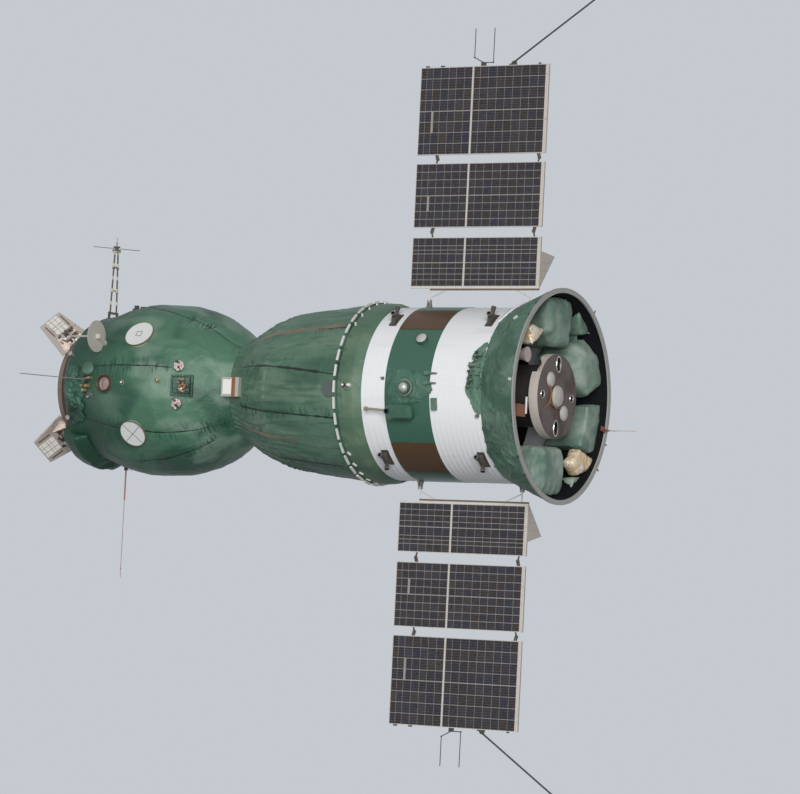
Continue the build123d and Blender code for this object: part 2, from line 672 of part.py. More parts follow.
def root_brackets():
    """Two-cheeked brackets on the hull with the root hinge pins."""
    inner = ROOT_EYE_T / 2 + CHEEK
    foot = RADIATOR_R - SINK
    brackets = []
    for station in HINGE_STATIONS:
        level = RADIATOR_R + max(0, station - SKIRT_FRONT) * SKIRT_FLARE / SKIRT_LENGTH
        shape = cross_pin(station, 0, ROOT_Z, ROOT_PIN_R, 2 * (inner + EAR_T))
        corners = [(-44, foot), (44, foot), (ROOT_EYE_R, ROOT_Z - 4), (ROOT_EYE_R, ROOT_Z + 8),
                   (8, ROOT_Z + ROOT_EYE_R), (-8, ROOT_Z + ROOT_EYE_R), (-ROOT_EYE_R, ROOT_Z + 8),
                   (-ROOT_EYE_R, ROOT_Z - 4)]
        for start in (station - inner - EAR_T, station + inner):
            shape += plate_yz(corners, start, start + EAR_T)
        front, rear = station - inner - EAR_T, station + inner + EAR_T
        shape += block((front, -52, foot), (rear, 52, level + ROOT_BASE_RISE))
        brackets.append(shape - radiator_clear - skirt_clear)
    return Compound(children=brackets + [mirror(b, about=Plane.XY) for b in brackets])


def gusset():
    """Ribbed triangular plate on the rear edge of the inner panel."""
    low = INNER_PANEL[0] - GUSSET_DROP
    high = low + GUSSET_HEIGHT
    corner = high - GUSSET_SLOPE
    shape = plate_xz([(WING_REAR, low), (WING_REAR, high), (WING_REAR + GUSSET_REACH, corner)], GUSSET_T)
    for share in GUSSET_RIBS:
        level = low + share * GUSSET_HEIGHT
        reach = GUSSET_REACH * (level - GUSSET_RIM - low) / (corner - low)
        shape += block((WING_REAR, -GUSSET_T * 1.2, level - GUSSET_RIM),
                       (WING_REAR + reach, GUSSET_T * 1.2, level))
    return shape


def tip_antennas():
    """Two-pronged fork and long raked rod on the tip of the outer panel."""
    tip = OUTER_PANEL[1]
    middle = sum(FORK_STATIONS) / 2
    foot_z = tip + min(FORK_RISES)
    fork = block((middle - 34, -10, tip), (middle + 34, 10, foot_z + FORK_ROD_R))
    for station, rise in zip(FORK_STATIONS, FORK_RISES):
        knee = 1.4 * FORK_ROD_R
        fork += rod((middle, 0, foot_z), (station, 0, tip + rise), FORK_ROD_R)
        fork += block((station - knee, -knee, tip + rise - knee), (station + knee, knee, tip + rise + knee))
        fork += rod((station, 0, tip + rise), (station, 0, tip + FORK_HEIGHT), FORK_ROD_R)
    rake = radians(LONG_ROD_RAKE)
    foot = (LONG_ROD_X, 0, tip + LONG_ROD_FOOT)
    end = (foot[0] + LONG_ROD_LENGTH * cos(rake), 0, foot[2] + LONG_ROD_LENGTH * sin(rake))
    long_rod = rod(foot, end, LONG_ROD_R)
    long_rod += block((LONG_ROD_X - 60, -10, tip), (LONG_ROD_X + 50, 10, tip + 16))
    long_rod += plate_xz([(LONG_ROD_X - 40, tip + 10), (LONG_ROD_X + 40, tip + 10),
                          (LONG_ROD_X + 40, tip + 66), (LONG_ROD_X - 14, tip + 48)], 18)
    return Compound(children=[fork, long_rod])


# Orbital module fittings

def orbital_place(fitting):
    """Place of a fitting on the orbital module."""
    return on_hull(ORBITAL_ROWS, ORBITAL_FRONT + fitting.station, fitting.angle)


def porthole_rim():
    """Rim of the side window."""
    rim = low_cylinder(PORTHOLE.size, PORTHOLE.height + 30) - low_cylinder(PANE_R + SEAT, 200)
    return orbital_place(PORTHOLE) * Pos(0, 0, -30) * rim - orbital_clear


def porthole_glass():
    """Pane of the side window."""
    return orbital_place(PORTHOLE) * (Pos(0, 0, -SINK) * low_cylinder(PANE_R, 14 + SINK)) - orbital_clear


def hull_plates():
    """Round covers, two on each side."""
    plates = []
    for angle, radius in PLATES:
        place = on_hull(ORBITAL_ROWS, ORBITAL_FRONT + PLATE_STATION, angle)
        plates.append(place * (Pos(0, 0, -40) * low_cylinder(radius, 40 + PLATE_PROUD)) - orbital_clear)
    return Compound(children=plates)


def cross_hub(x, z, radius, length):
    """Hub, pin or bore along Y on the axis of the mast or the whip."""
    return Pos(x, 0, z) * Rot(90, 0, 0) * Cylinder(radius, length)


def mast_bracket():
    """Ears and pin that the mast turns on."""
    inner = MAST_HALF + MAST_EAR_T + CHEEK
    low = MAST_FOOT_Z - 76
    shape = cross_hub(MAST_X, MAST_PIVOT_Z, MAST_PIN_R, 2 * (inner + MAST_EAR_T))
    for start in (inner, -inner - MAST_EAR_T):
        shape += block((MAST_X - MAST_HUB_R, start, low),
                       (MAST_X + MAST_HUB_R, start + MAST_EAR_T, MAST_PIVOT_Z + MAST_HUB_R))
    edge = inner + MAST_EAR_T
    shape += block((MAST_X - 40, -edge, low), (MAST_X + 40, edge, MAST_FOOT_Z))
    return shape - orbital_clear


def mast():
    """Two-legged ladder mast with its head."""
    hub_length = 2 * (MAST_HALF + MAST_EAR_T)
    shape = cross_hub(MAST_X, MAST_PIVOT_Z, MAST_HUB_R, hub_length)
    for sign in (-1, 1):
        shape += rod((MAST_X, sign * MAST_HALF, MAST_PIVOT_Z),
                     (MAST_X, sign * MAST_TOP_HALF, MAST_TOP_Z), MAST_LEG_R)
    shape -= cross_hub(MAST_X, MAST_PIVOT_Z, MAST_PIN_R + PIN_FIT, hub_length + 20)
    for height in MAST_KNOTS:
        half = MAST_HALF + (MAST_TOP_HALF - MAST_HALF) * height / MAST_HEIGHT
        level = MAST_PIVOT_Z + height
        shape += rod((MAST_X, -half, level), (MAST_X, half, level), MAST_LEG_R * 0.8)
        for y in (-half, half):
            shape += rod((MAST_X, y, level - 26), (MAST_X, y, level + 26), MAST_KNOT_R)
    shape += Pos(MAST_X, 0, MAST_TOP_Z - 12) * low_box(*MAST_HEAD)
    shape += rod((MAST_X, 0, MAST_TOP_Z + 20), (MAST_X, 0, MAST_TOP_Z + 62), MAST_CAP_R / 2)
    shape += bar((MAST_X, 0, MAST_TOP_Z + 56), (MAST_X, 0, MAST_TOP_Z + 72), MAST_CAP_R)
    shape += rod((MAST_X, 0, MAST_TOP_Z + 66), (MAST_X, 0, MAST_TOP_Z + MAST_SPIKE), 7)
    reach_x, reach_y = MAST_ARM
    shape += rod((MAST_X - reach_x, -reach_y, MAST_TOP_Z + 44), (MAST_X + reach_x, reach_y, MAST_TOP_Z + 44), 4)
    return shape


def whip_bracket():
    """Fork under the hull with the whip's pin."""
    inner = WHIP_HUB_HALF + CHEEK
    high = WHIP_PIVOT_Z + 106
    shape = cross_hub(WHIP_X, WHIP_PIVOT_Z, PIN_R, 2 * (inner + WHIP_EAR_T))
    for start in (inner, -inner - WHIP_EAR_T):
        shape += block((WHIP_X - WHIP_HUB_R, start, WHIP_PIVOT_Z - WHIP_HUB_R),
                       (WHIP_X + WHIP_HUB_R, start + WHIP_EAR_T, high))
    shape += block((WHIP_X - 34, -40, WHIP_PIVOT_Z + 32), (WHIP_X + 34, 40, high))
    return shape - orbital_clear


def whip():
    """Stepped whip that hangs from its pin."""
    step = WHIP_PIVOT_Z - WHIP_THICK_LENGTH
    shape = cross_hub(WHIP_X, WHIP_PIVOT_Z, WHIP_HUB_R, 2 * WHIP_HUB_HALF)
    shape += rod((WHIP_X, 0, WHIP_PIVOT_Z), (WHIP_X, 0, step), WHIP_R)
    shape += rod((WHIP_X, 0, step), (WHIP_X, 0, WHIP_PIVOT_Z - WHIP_LENGTH), WHIP_THIN_R)
    knot = WHIP_PIVOT_Z - WHIP_LENGTH + WHIP_TIP
    shape += rod((WHIP_X, 0, knot - 9), (WHIP_X, 0, knot + 9), 2 * WHIP_THIN_R)
    return shape - cross_hub(WHIP_X, WHIP_PIVOT_Z, PIN_R + PIN_FIT, 4 * WHIP_HUB_HALF)


def docking_target():
    """Forward-facing disc on a bracket, with its stand-off post."""
    x, y, z = on_axis_line(ORBITAL_FRONT + TARGET.station, ORBITAL_R + TARGET.height, TARGET.angle)
    shape = bar((x, y, z), (x + TARGET_T, y, z), TARGET.size)
    shape += bell((x + 2, y, z), (x - TARGET_POST, y, z), 16, 9)
    shape += block((x + 6, y - 20, z - 30), (x + 70, y + 60, z + 30))
    shape += Plane(origin=(x + 40, y, z), z_dir=(0, 1, -0.56)).location * low_box(50, 60, 260)
    return shape - orbital_clear


def rod_antenna():
    """Forward-pointing rod on the near shoulder of the orbital module."""
    place = orbital_place(ROD_ANTENNA)
    base = place * (Pos(0, 0, -SINK) * low_box(70, ROD_ANTENNA.size, ROD_ANTENNA.height + SINK))
    x, y, z = on_axis_line(ORBITAL_FRONT + ROD_ANTENNA.station, ORBITAL_R - 94, ROD_ANTENNA.angle)
    return base + rod((x, y, z), (x - ROD_ANTENNA_LENGTH, y, z + 72), 6) - orbital_clear


def attitude_sensor():
    """Sensor head in an open frame on the near side, leaning aft with the hull."""
    place = orbital_place(SENSOR) * Pos(0, 0, -70)
    frame = low_box(*SENSOR_FRAME, 70 + SENSOR.height) - low_box(*SENSOR_OPENING, 300)
    head = low_box(*SENSOR_HEAD, 90 + SENSOR.height)
    return Compound(children=[place * frame - orbital_clear, place * head - orbital_clear])


def periscope():
    """Boxy sight head at the waist."""
    head = block((PERISCOPE_X - PERISCOPE_HALF_LENGTH, -PERISCOPE_R, -PERISCOPE_HALF_WIDTH),
                 (PERISCOPE_X + PERISCOPE_HALF_LENGTH, 0, PERISCOPE_HALF_WIDTH))
    return head - orbital_clear - descent_clear


def hull_fittings():
    """Lamps, knobs and small covers on the orbital module."""
    return Compound(children=[
        orbital_place(row) * knob(row.size, row.height) - orbital_clear for row in KNOBS
    ])


def equipment_cover():
    """Blanket-covered box low on the front shoulder."""
    corners = [(ORBITAL_FRONT + run, COVER_INNER_R + rise) for run, rise in COVER_SHAPE]
    return sector(corners, *COVER_ANGLES) - orbital_clear


# Service module fittings

def half_plate():
    """Half-round plate on the descent module's rear edge."""
    place = seat(DESCENT_REAR - 70, DESCENT_REAR_R - SINK, -1)
    plate = place * low_cylinder(HALF_PLATE_R, SINK + HALF_PLATE_RISE)
    return plate - descent_clear - disc(DESCENT_REAR - 4, 0, RING_R)


def lacing_clips():
    """Two rows of clips that lace the descent module to the transfer section."""
    clips = []
    step = 360 / CLIP_COUNT
    for index in range(CLIP_COUNT):
        angle = index * step
        front = seat(DESCENT_REAR + 12, LACING_R + SEAT, angle)
        clips.append(front * low_box(CLIP_WIDTH, CLIP_LENGTH, CLIP_RISE))
        rear = seat(LACING_REAR + REAR_CLIP_INSET, TRANSFER_R + SEAT, angle + step / 2)
        clips.append(rear * Rot(0, 0, REAR_CLIP_TURN) * low_box(*REAR_CLIP))
    return Compound(children=clips)


def brown_panels():
    """Curved cover plates of the instrument band, in pairs on both sides."""
    front, rear = BAND_FRONT + 4, AFT_RADIATOR_FRONT - 4
    inner = BAND_R + SEAT
    outer = inner + BROWN_PANEL_T
    corners = [(front, inner), (rear, inner), (rear, outer), (front, outer)]
    spans = ((43, 67), (-65, -37), (113, 137), (-143, -115))
    return Compound(children=[sector(corners, *span) for span in spans])


def thruster(sign):
    """Bracket with two nozzles, local frame on the hull."""
    shape = Pos(0, 0, -SINK) * low_box(*THRUSTER_BASE, SINK + 12)
    shape += plate_yz([(-105, 0), (105, 0), (40, THRUSTER_RISE), (-40, THRUSTER_RISE)], -28, 28)
    shape += bell((0, sign * 20, 56), (-18, sign * 150, 104), NOZZLE_R / 2, NOZZLE_R)
    shape += bell((0, -sign * 30, 60), (22, -sign * 60, 150), NOZZLE_R / 2, NOZZLE_R)
    return shape


def attitude_thrusters():
    """Thruster pairs in two rings of four."""
    units = []
    for station in THRUSTER_STATIONS:
        for angle, sign in THRUSTER_PLACES:
            units.append(seat(station, RADIATOR_R, angle) * thruster(sign) - radiator_clear)
    return Compound(children=units)


def band_sensors():
    """Round sensor and small disc on the instrument band."""
    place = seat(SENSOR_DISC.station, BAND_R - SINK, SENSOR_DISC.angle)
    height = SINK + SENSOR_DISC.height
    dome = place * (low_cylinder(SENSOR_DISC.size, height) + Pos(0, 0, height) * low_cylinder(*SENSOR_DOME))
    small = seat(SMALL_DISC.station, BAND_R - SINK, SMALL_DISC.angle)
    small *= low_cylinder(SMALL_DISC.size, SINK + SMALL_DISC.height)
    return Compound(children=[dome - band_clear, small - band_clear])


def ion_sensor():
    """Rounded housing with a lens and a forward probe."""
    length, width, height = ION_SENSOR_SIZE
    outline = RectangleRounded(length, width, ION_SENSOR_CORNER)
    place = seat(ION_SENSOR_X, BAND_R - SINK, ION_SENSOR_ANGLE)
    shoulder = SINK + height - ION_SENSOR_CROWN
    body = place * extrude(outline, shoulder)
    body += place * Pos(0, 0, shoulder) * extrude(outline, ION_SENSOR_CROWN, taper=ION_SENSOR_LEAN)
    body += place * Pos(-130, 30, height) * low_cylinder(ION_LENS_R, SINK + 24)
    probe_start = on_axis_line(ION_SENSOR_X - length / 2 + 10, BAND_R + 85, ION_SENSOR_ANGLE + 1)
    probe_end = on_axis_line(ION_SENSOR_X - length / 2 - ION_PROBE + 40, BAND_R + 91, ION_SENSOR_ANGLE + 2)
    probe_tip = on_axis_line(ION_SENSOR_X - length / 2 - ION_PROBE, BAND_R + 91, ION_SENSOR_ANGLE + 2)
    body += rod(probe_start, probe_end, 15)
    body += rod(probe_end, probe_tip, 26)
    return body - band_clear - radiator_clear


def band_fittings():
    """Pins, a small whip and a pipe elbow round the instrument band."""
    pieces = []
    for angle in BAND_PINS:
        pin = seat(PIN_STATION, BAND_R - SINK, angle) * low_box(60, 50, SINK + 40)
        pin += bell(on_axis_line(PIN_STATION, BAND_R + 26, angle),
                    on_axis_line(PIN_STATION + 145, BAND_R + 26, angle), 16, 9)
        pieces.append(pin - band_clear)
    stub = seat(BAND_FRONT - 35, RADIATOR_R, 6) * (knob(24, 10) + knob(7, 66))
    elbow = seat(AFT_RADIATOR_FRONT + 75, RADIATOR_R - SINK, -10) * low_box(70, 150, SINK + 44)
    pieces += [stub - radiator_clear, elbow - radiator_clear]
    return Compound(children=pieces)


def skirt_fittings():
    """Horn, valves and a hook at the front edge of the skirt."""
    place = seat(HORN_X, RADIATOR_R, HORN_ANGLE)
    horn = place * (Pos(0, 0, -SINK) * low_box(60, 60, SINK + 54) + bell((-20, 0, 40), (-110, 0, 52), 22, 32))
    pieces = [horn - radiator_clear]
    for angle, size in SKIRT_PIECES:
        fitting = seat(SKIRT_PIECE_X, RADIATOR_R - SINK, angle) * low_box(size, size, size + 26)
        pieces.append(fitting - radiator_clear)
    return Compound(children=pieces)


def skirt_lamps():
    """Small lamps on the skirt."""
    lamps = []
    for station, angle, size in SKIRT_LAMPS:
        lamps.append(on_hull(SKIRT_ROWS, station, angle) * knob(size, 22) - skirt_clear)
    return Compound(children=lamps)


# Engine bay

bay_space = turned([
    (BAY_FRONT, 0), (BAY_FRONT, CORE_R - SEAT), (SKIRT_FRONT, CORE_R - SEAT),
    (SKIRT_REAR, SKIRT_REAR_R - SKIRT_WALL - SEAT), (SKIRT_REAR, 0),
])


def nozzle_places():
    """Centre in Y and Z and half sizes of the four openings in the drum's face."""
    r = NOZZLE_CIRCLE_R
    return [(-r, 0, *SMALL_NOZZLE), (r, 0, *SMALL_NOZZLE), (0, r, *LARGE_NOZZLE), (0, -r, *LARGE_NOZZLE)]


def drum_face(y, z):
    """Place on the drum's rear face, local z aft."""
    return Plane(origin=(DRUM_REAR, y, z), x_dir=(0, 1, 0), z_dir=(1, 0, 0)).location


def engine_drum():
    """Short drum on a narrower core, with openings in its face and a notch in its side."""
    front, back = DRUM_REAR - DRUM_DEPTH, DRUM_REAR - DRUM_FACE_T
    drum = disc(BAY_FRONT, front, DRUM_CORE_R) + disc(front, DRUM_REAR, DRUM_R)
    low, high = DRUM_R - DRUM_NOTCH_DEPTH, DRUM_R + 1
    drum -= sector([(front - 1, low), (back, low), (back, high), (front - 1, high)], *DRUM_NOTCH_ANGLES)
    for y, z, half_y, half_z in nozzle_places():
        bore = extrude(Ellipse(half_y, half_z), NOZZLE_DEPTH + 1)
        drum -= drum_face(y, z) * Pos(0, 0, -NOZZLE_DEPTH) * bore
    return drum


def engine_nozzles():
    """Cups in the four openings."""
    cups = []
    for y, z, half_y, half_z in nozzle_places():
        cup = extrude(Ellipse(half_y - 1, half_z - 1), NOZZLE_DEPTH)
        hollow = extrude(Ellipse(half_y - NOZZLE_WALL, half_z - NOZZLE_WALL), NOZZLE_DEPTH)
        cups.append(drum_face(y, z) * Pos(0, 0, -NOZZLE_DEPTH) * (cup - Pos(0, 0, NOZZLE_WALL) * hollow))
    return Compound(children=cups)


def nozzle_covers():
    """White caps over the main nozzle and its two neighbours."""
    reach = CAP_CIRCLE_R / 2 ** 0.5
    places = [(0, 0, MAIN_CAP), (-reach, reach, SIDE_CAP), (reach, -reach, SIDE_CAP)]
    return Compound(children=[drum_face(y, z) * low_cylinder(*cap) for y, z, cap in places])


def bay_pack(row):
    """Wrapped pack that fills out to the skirt, with slopes to a smaller rear face where it has one."""
    outer, inner = ([(y * SKIRT_REAR_R, z * SKIRT_REAR_R) for y, z in face] for face in row[:2])
    front, step, rear = (SKIRT_REAR - run for run in row[2:])
    shape = plate_yz(outer, front, step)
    if inner:
        shape += loft([plate_face(outer, step), plate_face(inner, rear)], ruled=True)
    return shape & bay_space


def bay_fittings():
    """Small engine and valve block on brackets in the open part of the bay."""
    x = SKIRT_REAR
    engine = bell((x - 230, -745, 465), (x - 120, -745, 465), 60, 96)
    engine += bar((x - 300, -745, 465), (x - 230, -745, 465), 66)
    engine += plate_yz([(-770, 420), (-BAY_TOP, 700), (-BAY_TOP, 790), (-740, 500)], x - 290, x - 250)
    valve = block((x - 230, -940, -310), (x - 130, -715, -160))
    valve += plate_yz([(-930, -270), (-BAY_TOP, -300), (-BAY_TOP, -220), (-930, -190)], x - 215, x - 175)
    return Compound(children=[engine & bay_space, valve & bay_space])


def aft_probe():
    """Rod on a bracket inside the aft ring, and three lugs round its outer side."""
    radius = RING_INNER_R - 2 * RING_ROD_R
    angle = RING_ROD_ANGLE
    foot = on_axis_line(SKIRT_REAR + 10, radius, angle)
    step = on_axis_line(RING_REAR + 160, radius, angle)
    shape = rod(foot, step, RING_ROD_R)
    shape += rod(step, on_axis_line(RING_REAR + RING_ROD_LENGTH, radius, angle), RING_ROD_R / 2)
    width, reach = RING_BRACKET
    middle, length = (SKIRT_REAR + RING_REAR) / 2, RING_REAR - SKIRT_REAR
    bracket = seat(middle, RING_INNER_R - reach, angle) * low_box(length, width, reach)
    shape += bracket & disc(SKIRT_REAR, RING_REAR, RING_INNER_R - SEAT)
    pieces = [shape]
    for angle in RING_LUGS:
        lug = extrude(RegularPolygon(RING_LUG_R, 8), RING_LUG_RISE)
        pieces.append(seat(middle, RING_R + SEAT, angle) * lug)
    return Compound(children=pieces)


PARTS = {
    "orbital_module": orbital_module(),
    "docking_collar": docking_collar(),
    "rod_sleeves": rod_sleeves(),
    "collar_blanket": collar_blanket(),
    "guide_ring": guide_ring(),
    "guide_rods": guide_rods(),
    "guide_petals": guide_petals(),
    "tunnel_hatch": tunnel_hatch(),
    "hatch_bracket": hatch_bracket(),
    "porthole_rim": porthole_rim(),
    "porthole_glass": porthole_glass(),
    "hull_plates": hull_plates(),
    "hull_fittings": hull_fittings(),
    "equipment_cover": equipment_cover(),
    "docking_target": docking_target(),
    "rod_antenna": rod_antenna(),
    "attitude_sensor": attitude_sensor(),
    "mast_bracket": mast_bracket(),
    "mast": mast(),
    "whip_bracket": whip_bracket(),
    "whip": whip(),
    "descent_module": hull(DESCENT_ROWS),
    "periscope": periscope(),
    "half_plate": half_plate(),
    "lacing_ring": disc(DESCENT_REAR, LACING_REAR, LACING_R),
    "lacing_clips": lacing_clips(),
    "transfer_section": hull([(LACING_REAR, TRANSFER_R), (FORE_RADIATOR_FRONT - TRANSFER_TAPER, TRANSFER_R),
                              (FORE_RADIATOR_FRONT, BAND_R)]),
    "fore_radiator": disc(FORE_RADIATOR_FRONT, BAND_FRONT, RADIATOR_R),
    "instrument_band": disc(BAND_FRONT, AFT_RADIATOR_FRONT, BAND_R),
    "brown_panels": brown_panels(),
    "aft_radiator": ring(AFT_RADIATOR_FRONT, SKIRT_FRONT, CORE_R, RADIATOR_R),
    "service_core": disc(AFT_RADIATOR_FRONT, BAY_FRONT, CORE_R - SEAT),
    "aft_skirt": turned([(SKIRT_FRONT, CORE_R), (SKIRT_FRONT, RADIATOR_R), (SKIRT_REAR, SKIRT_REAR_R),
                         (SKIRT_REAR, SKIRT_REAR_R - SKIRT_WALL)]),
    "aft_ring": ring(SKIRT_REAR, RING_REAR, RING_INNER_R, RING_R),
    "attitude_thrusters": attitude_thrusters(),
    "band_sensors": band_sensors(),
    "ion_sensor": ion_sensor(),
    "band_fittings": band_fittings(),
    "skirt_fittings": skirt_fittings(),
    "skirt_lamps": skirt_lamps(),
    "engine_drum": engine_drum(),
    "engine_nozzles": engine_nozzles(),
    "nozzle_covers": nozzle_covers(),
    "tank_blankets": Compound(children=[bay_pack(row) for row in TANKS]),
    "foil_packs": Compound(children=[bay_pack(row) for row in FOILS]),
    "bay_fittings": bay_fittings(),
    "aft_probe": aft_probe(),
    "root_brackets": root_brackets(),
}

upper_wing = {
    "root_frame": root_frame(),
    "inner_panel": panel(INNER_PANEL, outer_axis=MIDDLE_AXIS),
    "middle_panel": panel(MIDDLE_PANEL, inner_axis=MIDDLE_AXIS, outer_axis=OUTER_AXIS),
    "outer_panel": panel(OUTER_PANEL, inner_axis=OUTER_AXIS),
    "gusset": gusset(),
    "tip_antennas": tip_antennas(),
}
for name, shape in upper_wing.items():
    PARTS["upper_" + name] = shape
    PARTS["lower_" + name] = mirror(shape, about=Plane.XY)

os.makedirs("parts", exist_ok=True)
for name, shape in PARTS.items():
    export_step(shape, "parts/" + name + ".step")
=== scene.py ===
import logging
import math
import random
from collections.abc import Callable
from dataclasses import dataclass, field
from enum import Enum

import bpy
import numpy as np
from mathutils import Matrix, Vector, noise
from mathutils.bvhtree import BVHTree
from mathutils.kdtree import KDTree


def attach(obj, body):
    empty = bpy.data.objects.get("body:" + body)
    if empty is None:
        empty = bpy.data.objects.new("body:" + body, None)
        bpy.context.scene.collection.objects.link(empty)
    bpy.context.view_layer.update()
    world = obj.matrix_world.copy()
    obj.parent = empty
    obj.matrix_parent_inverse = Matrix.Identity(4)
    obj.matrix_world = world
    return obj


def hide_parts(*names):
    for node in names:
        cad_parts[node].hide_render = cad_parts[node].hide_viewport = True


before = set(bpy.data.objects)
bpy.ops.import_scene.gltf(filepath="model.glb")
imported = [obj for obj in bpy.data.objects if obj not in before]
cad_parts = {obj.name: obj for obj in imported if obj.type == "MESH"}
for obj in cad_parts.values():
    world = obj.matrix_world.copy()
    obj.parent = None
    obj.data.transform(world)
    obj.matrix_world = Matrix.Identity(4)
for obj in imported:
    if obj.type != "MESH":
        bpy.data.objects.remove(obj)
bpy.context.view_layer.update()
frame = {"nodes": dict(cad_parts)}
MM = 0.001
FOLD_SEED = 1        # the folds' vector noise is seeded by the clock without it
TIP = 0.0001         # radius at which a turned profile closes
SMOOTH = 180.0       # degrees above which an edge stays sharp, on cloth and thin skins
ORBITAL_R = 1.131    # widest radius of the orbital module
RADIATOR_R = 1.108
BAND_R = 1.114
log = logging.getLogger("spacecraft")

# A place on the hull is a station along X, a radius from the long axis and an angle round it,
# 0 at -Y and 90 at +Z. A profile is a list of radius and height pairs.


class Body(Enum):
    """Rigid bodies that added pieces ride on."""

    HULL = "hull"
    GUIDE = "guide"
    UPPER_INNER = "upper_inner"
    UPPER_MIDDLE = "upper_middle"
    UPPER_OUTER = "upper_outer"
    LOWER_INNER = "lower_inner"
    LOWER_MIDDLE = "lower_middle"
    LOWER_OUTER = "lower_outer"


class Slot(Enum):
    """The record's material slots, one named for each added piece."""

    HULL_BLANKET = "hull_blanket"
    DARK_BLANKET = "dark_blanket"
    RADIATOR_WHITE = "radiator_white"
    BROWN_COVER = "brown_cover"
    BAND_GREEN = "band_green"
    BRIGHT_METAL = "bright_metal"
    GREY_METAL = "grey_metal"
    WHITE_PAINT = "white_paint"
    ROD_STEEL = "rod_steel"
    OLIVE_PAINT = "olive_paint"
    CELL_PANEL = "cell_panel"
    RIM_RED = "rim_red"
    GOLD_FOIL = "gold_foil"


class Side(Enum):
    """The two wings, by the way they point along Z."""

    UPPER = 1
    LOWER = -1


Colour = tuple[float, float, float]
Point = tuple[float, float, float]
Profile = list[tuple[float, float]]
Seam = tuple[tuple[float, float], ...]
Face = tuple[int, ...]


def linear(red: int, green: int, blue: int) -> Colour:
    """Linear colour of a screen colour.

    Args:
        red: red level, 0 to 255.
        green: green level, 0 to 255.
        blue: blue level, 0 to 255.

    Returns:
        The three linear levels, 0 to 1.
    """
    levels = [level / 255 for level in (red, green, blue)]
    return tuple(c / 12.92 if c <= 0.04045 else ((c + 0.055) / 1.055) ** 2.4 for c in levels)


# Shader maths


class Value:
    """A socket in a material's maths, or a number beside one."""

    def __init__(self, nodes: "Nodes", socket: bpy.types.NodeSocket) -> None:
        """Wrap one output socket of a node tree."""
        self.nodes = nodes
        self.socket = socket

    def _math(self, operation: str, first: "Value | float", second: "Value | float") -> "Value":
        """Add one Math node and return its result."""
        return self.nodes.node("Math", {"operation": operation}, {0: first, 1: second})

    def __add__(self, other: "Value | float") -> "Value":
        """Sum."""
        return self._math("ADD", self, other)

    __radd__ = __add__

    def __sub__(self, other: "Value | float") -> "Value":
        """Difference."""
        return self._math("SUBTRACT", self, other)

    def __rsub__(self, other: float) -> "Value":
        """Difference from a number."""
        return self._math("SUBTRACT", other, self)

    def __mul__(self, other: "Value | float") -> "Value":
        """Product."""
        return self._math("MULTIPLY", self, other)

    __rmul__ = __mul__

    def __truediv__(self, other: "Value | float") -> "Value":
        """Quotient."""
        return self._math("DIVIDE", self, other)

    def __rtruediv__(self, other: float) -> "Value":
        """Quotient of a number."""
        return self._math("DIVIDE", other, self)

    def __pow__(self, other: float) -> "Value":
        """Power."""
        return self._math("POWER", self, other)

    def __rpow__(self, other: float) -> "Value":
        """Power of a number."""
        return self._math("POWER", other, self)

    def __gt__(self, other: "Value | float") -> "Value":
        """1 where this is the greater, 0 elsewhere."""
        return self._math("GREATER_THAN", self, other)

    def __lt__(self, other: "Value | float") -> "Value":
        """1 where this is the smaller, 0 elsewhere."""
        return self._math("LESS_THAN", self, other)

    def larger(self, other: "Value | float") -> "Value":
        """The greater of the two."""
        return self._math("MAXIMUM", self, other)

    def fraction(self) -> "Value":
        """The part after the decimal point."""
        return self._math("FRACT", self, 0.0)

    def absolute(self) -> "Value":
        """The value without its sign."""
        return self._math("ABSOLUTE", self, 0.0)

    def span(self, low: float, high: float) -> "Value":
        """0 below low and 1 above high, smooth between.

        Args:
            low: where it starts to rise.
            high: where it has risen.

        Returns:
            The smoothed step.
        """
        settings = {"interpolation_type": "SMOOTHSTEP", "clamp": True}
        return self.nodes.node("MapRange", settings, {0: self, 1: low, 2: high, 3: 0.0, 4: 1.0})


class Nodes:
    """A node tree, emptied and ready for its nodes."""

    def __init__(self, owner: bpy.types.Material | bpy.types.World) -> None:
        """Empty the tree of its owner.

        Args:
            owner: a material or a world.
        """
        owner.use_nodes = True
        self.tree = owner.node_tree
        self.tree.nodes.clear()

    def put(self, socket: bpy.types.NodeSocket, value: "Value | float | tuple") -> None:
        """Link or set one input socket.

        Args:
            socket: the input.
            value: a Value to link, or a constant to set.
        """
        if isinstance(value, Value):
            self.tree.links.new(value.socket, socket)
        elif isinstance(value, tuple) and len(value) == 3 and len(socket.default_value) == 4:
            socket.default_value = (*value, 1.0)
        else:
            socket.default_value = value

    def node(self, kind: str, settings: dict | None = None, inputs: dict | None = None,
             output: int | str = 0) -> Value | None:
        """Add one node.

        Args:
            kind: the node's type without its ShaderNode prefix.
            settings: its own settings, set first; stops are a ramp's positions and colours.
            inputs: values or links of its sockets, by number or name.
            output: which output to return.

        Returns:
            The output as a Value, or None for a node that has none.
        """
        made = self.tree.nodes.new("ShaderNode" + kind)
        for key, value in (settings or {}).items():
            if key == "stops":
                ramp = made.color_ramp
                while len(ramp.elements) < len(value):
                    ramp.elements.new(0.5)
                for element, (place, colour) in zip(ramp.elements, value):
                    element.position = place
                    element.color = (*colour, 1.0)
            else:
                setattr(made, key, value)
        for key, value in (inputs or {}).items():
            self.put(made.inputs[key], value)
        return Value(self, made.outputs[output]) if made.outputs else None


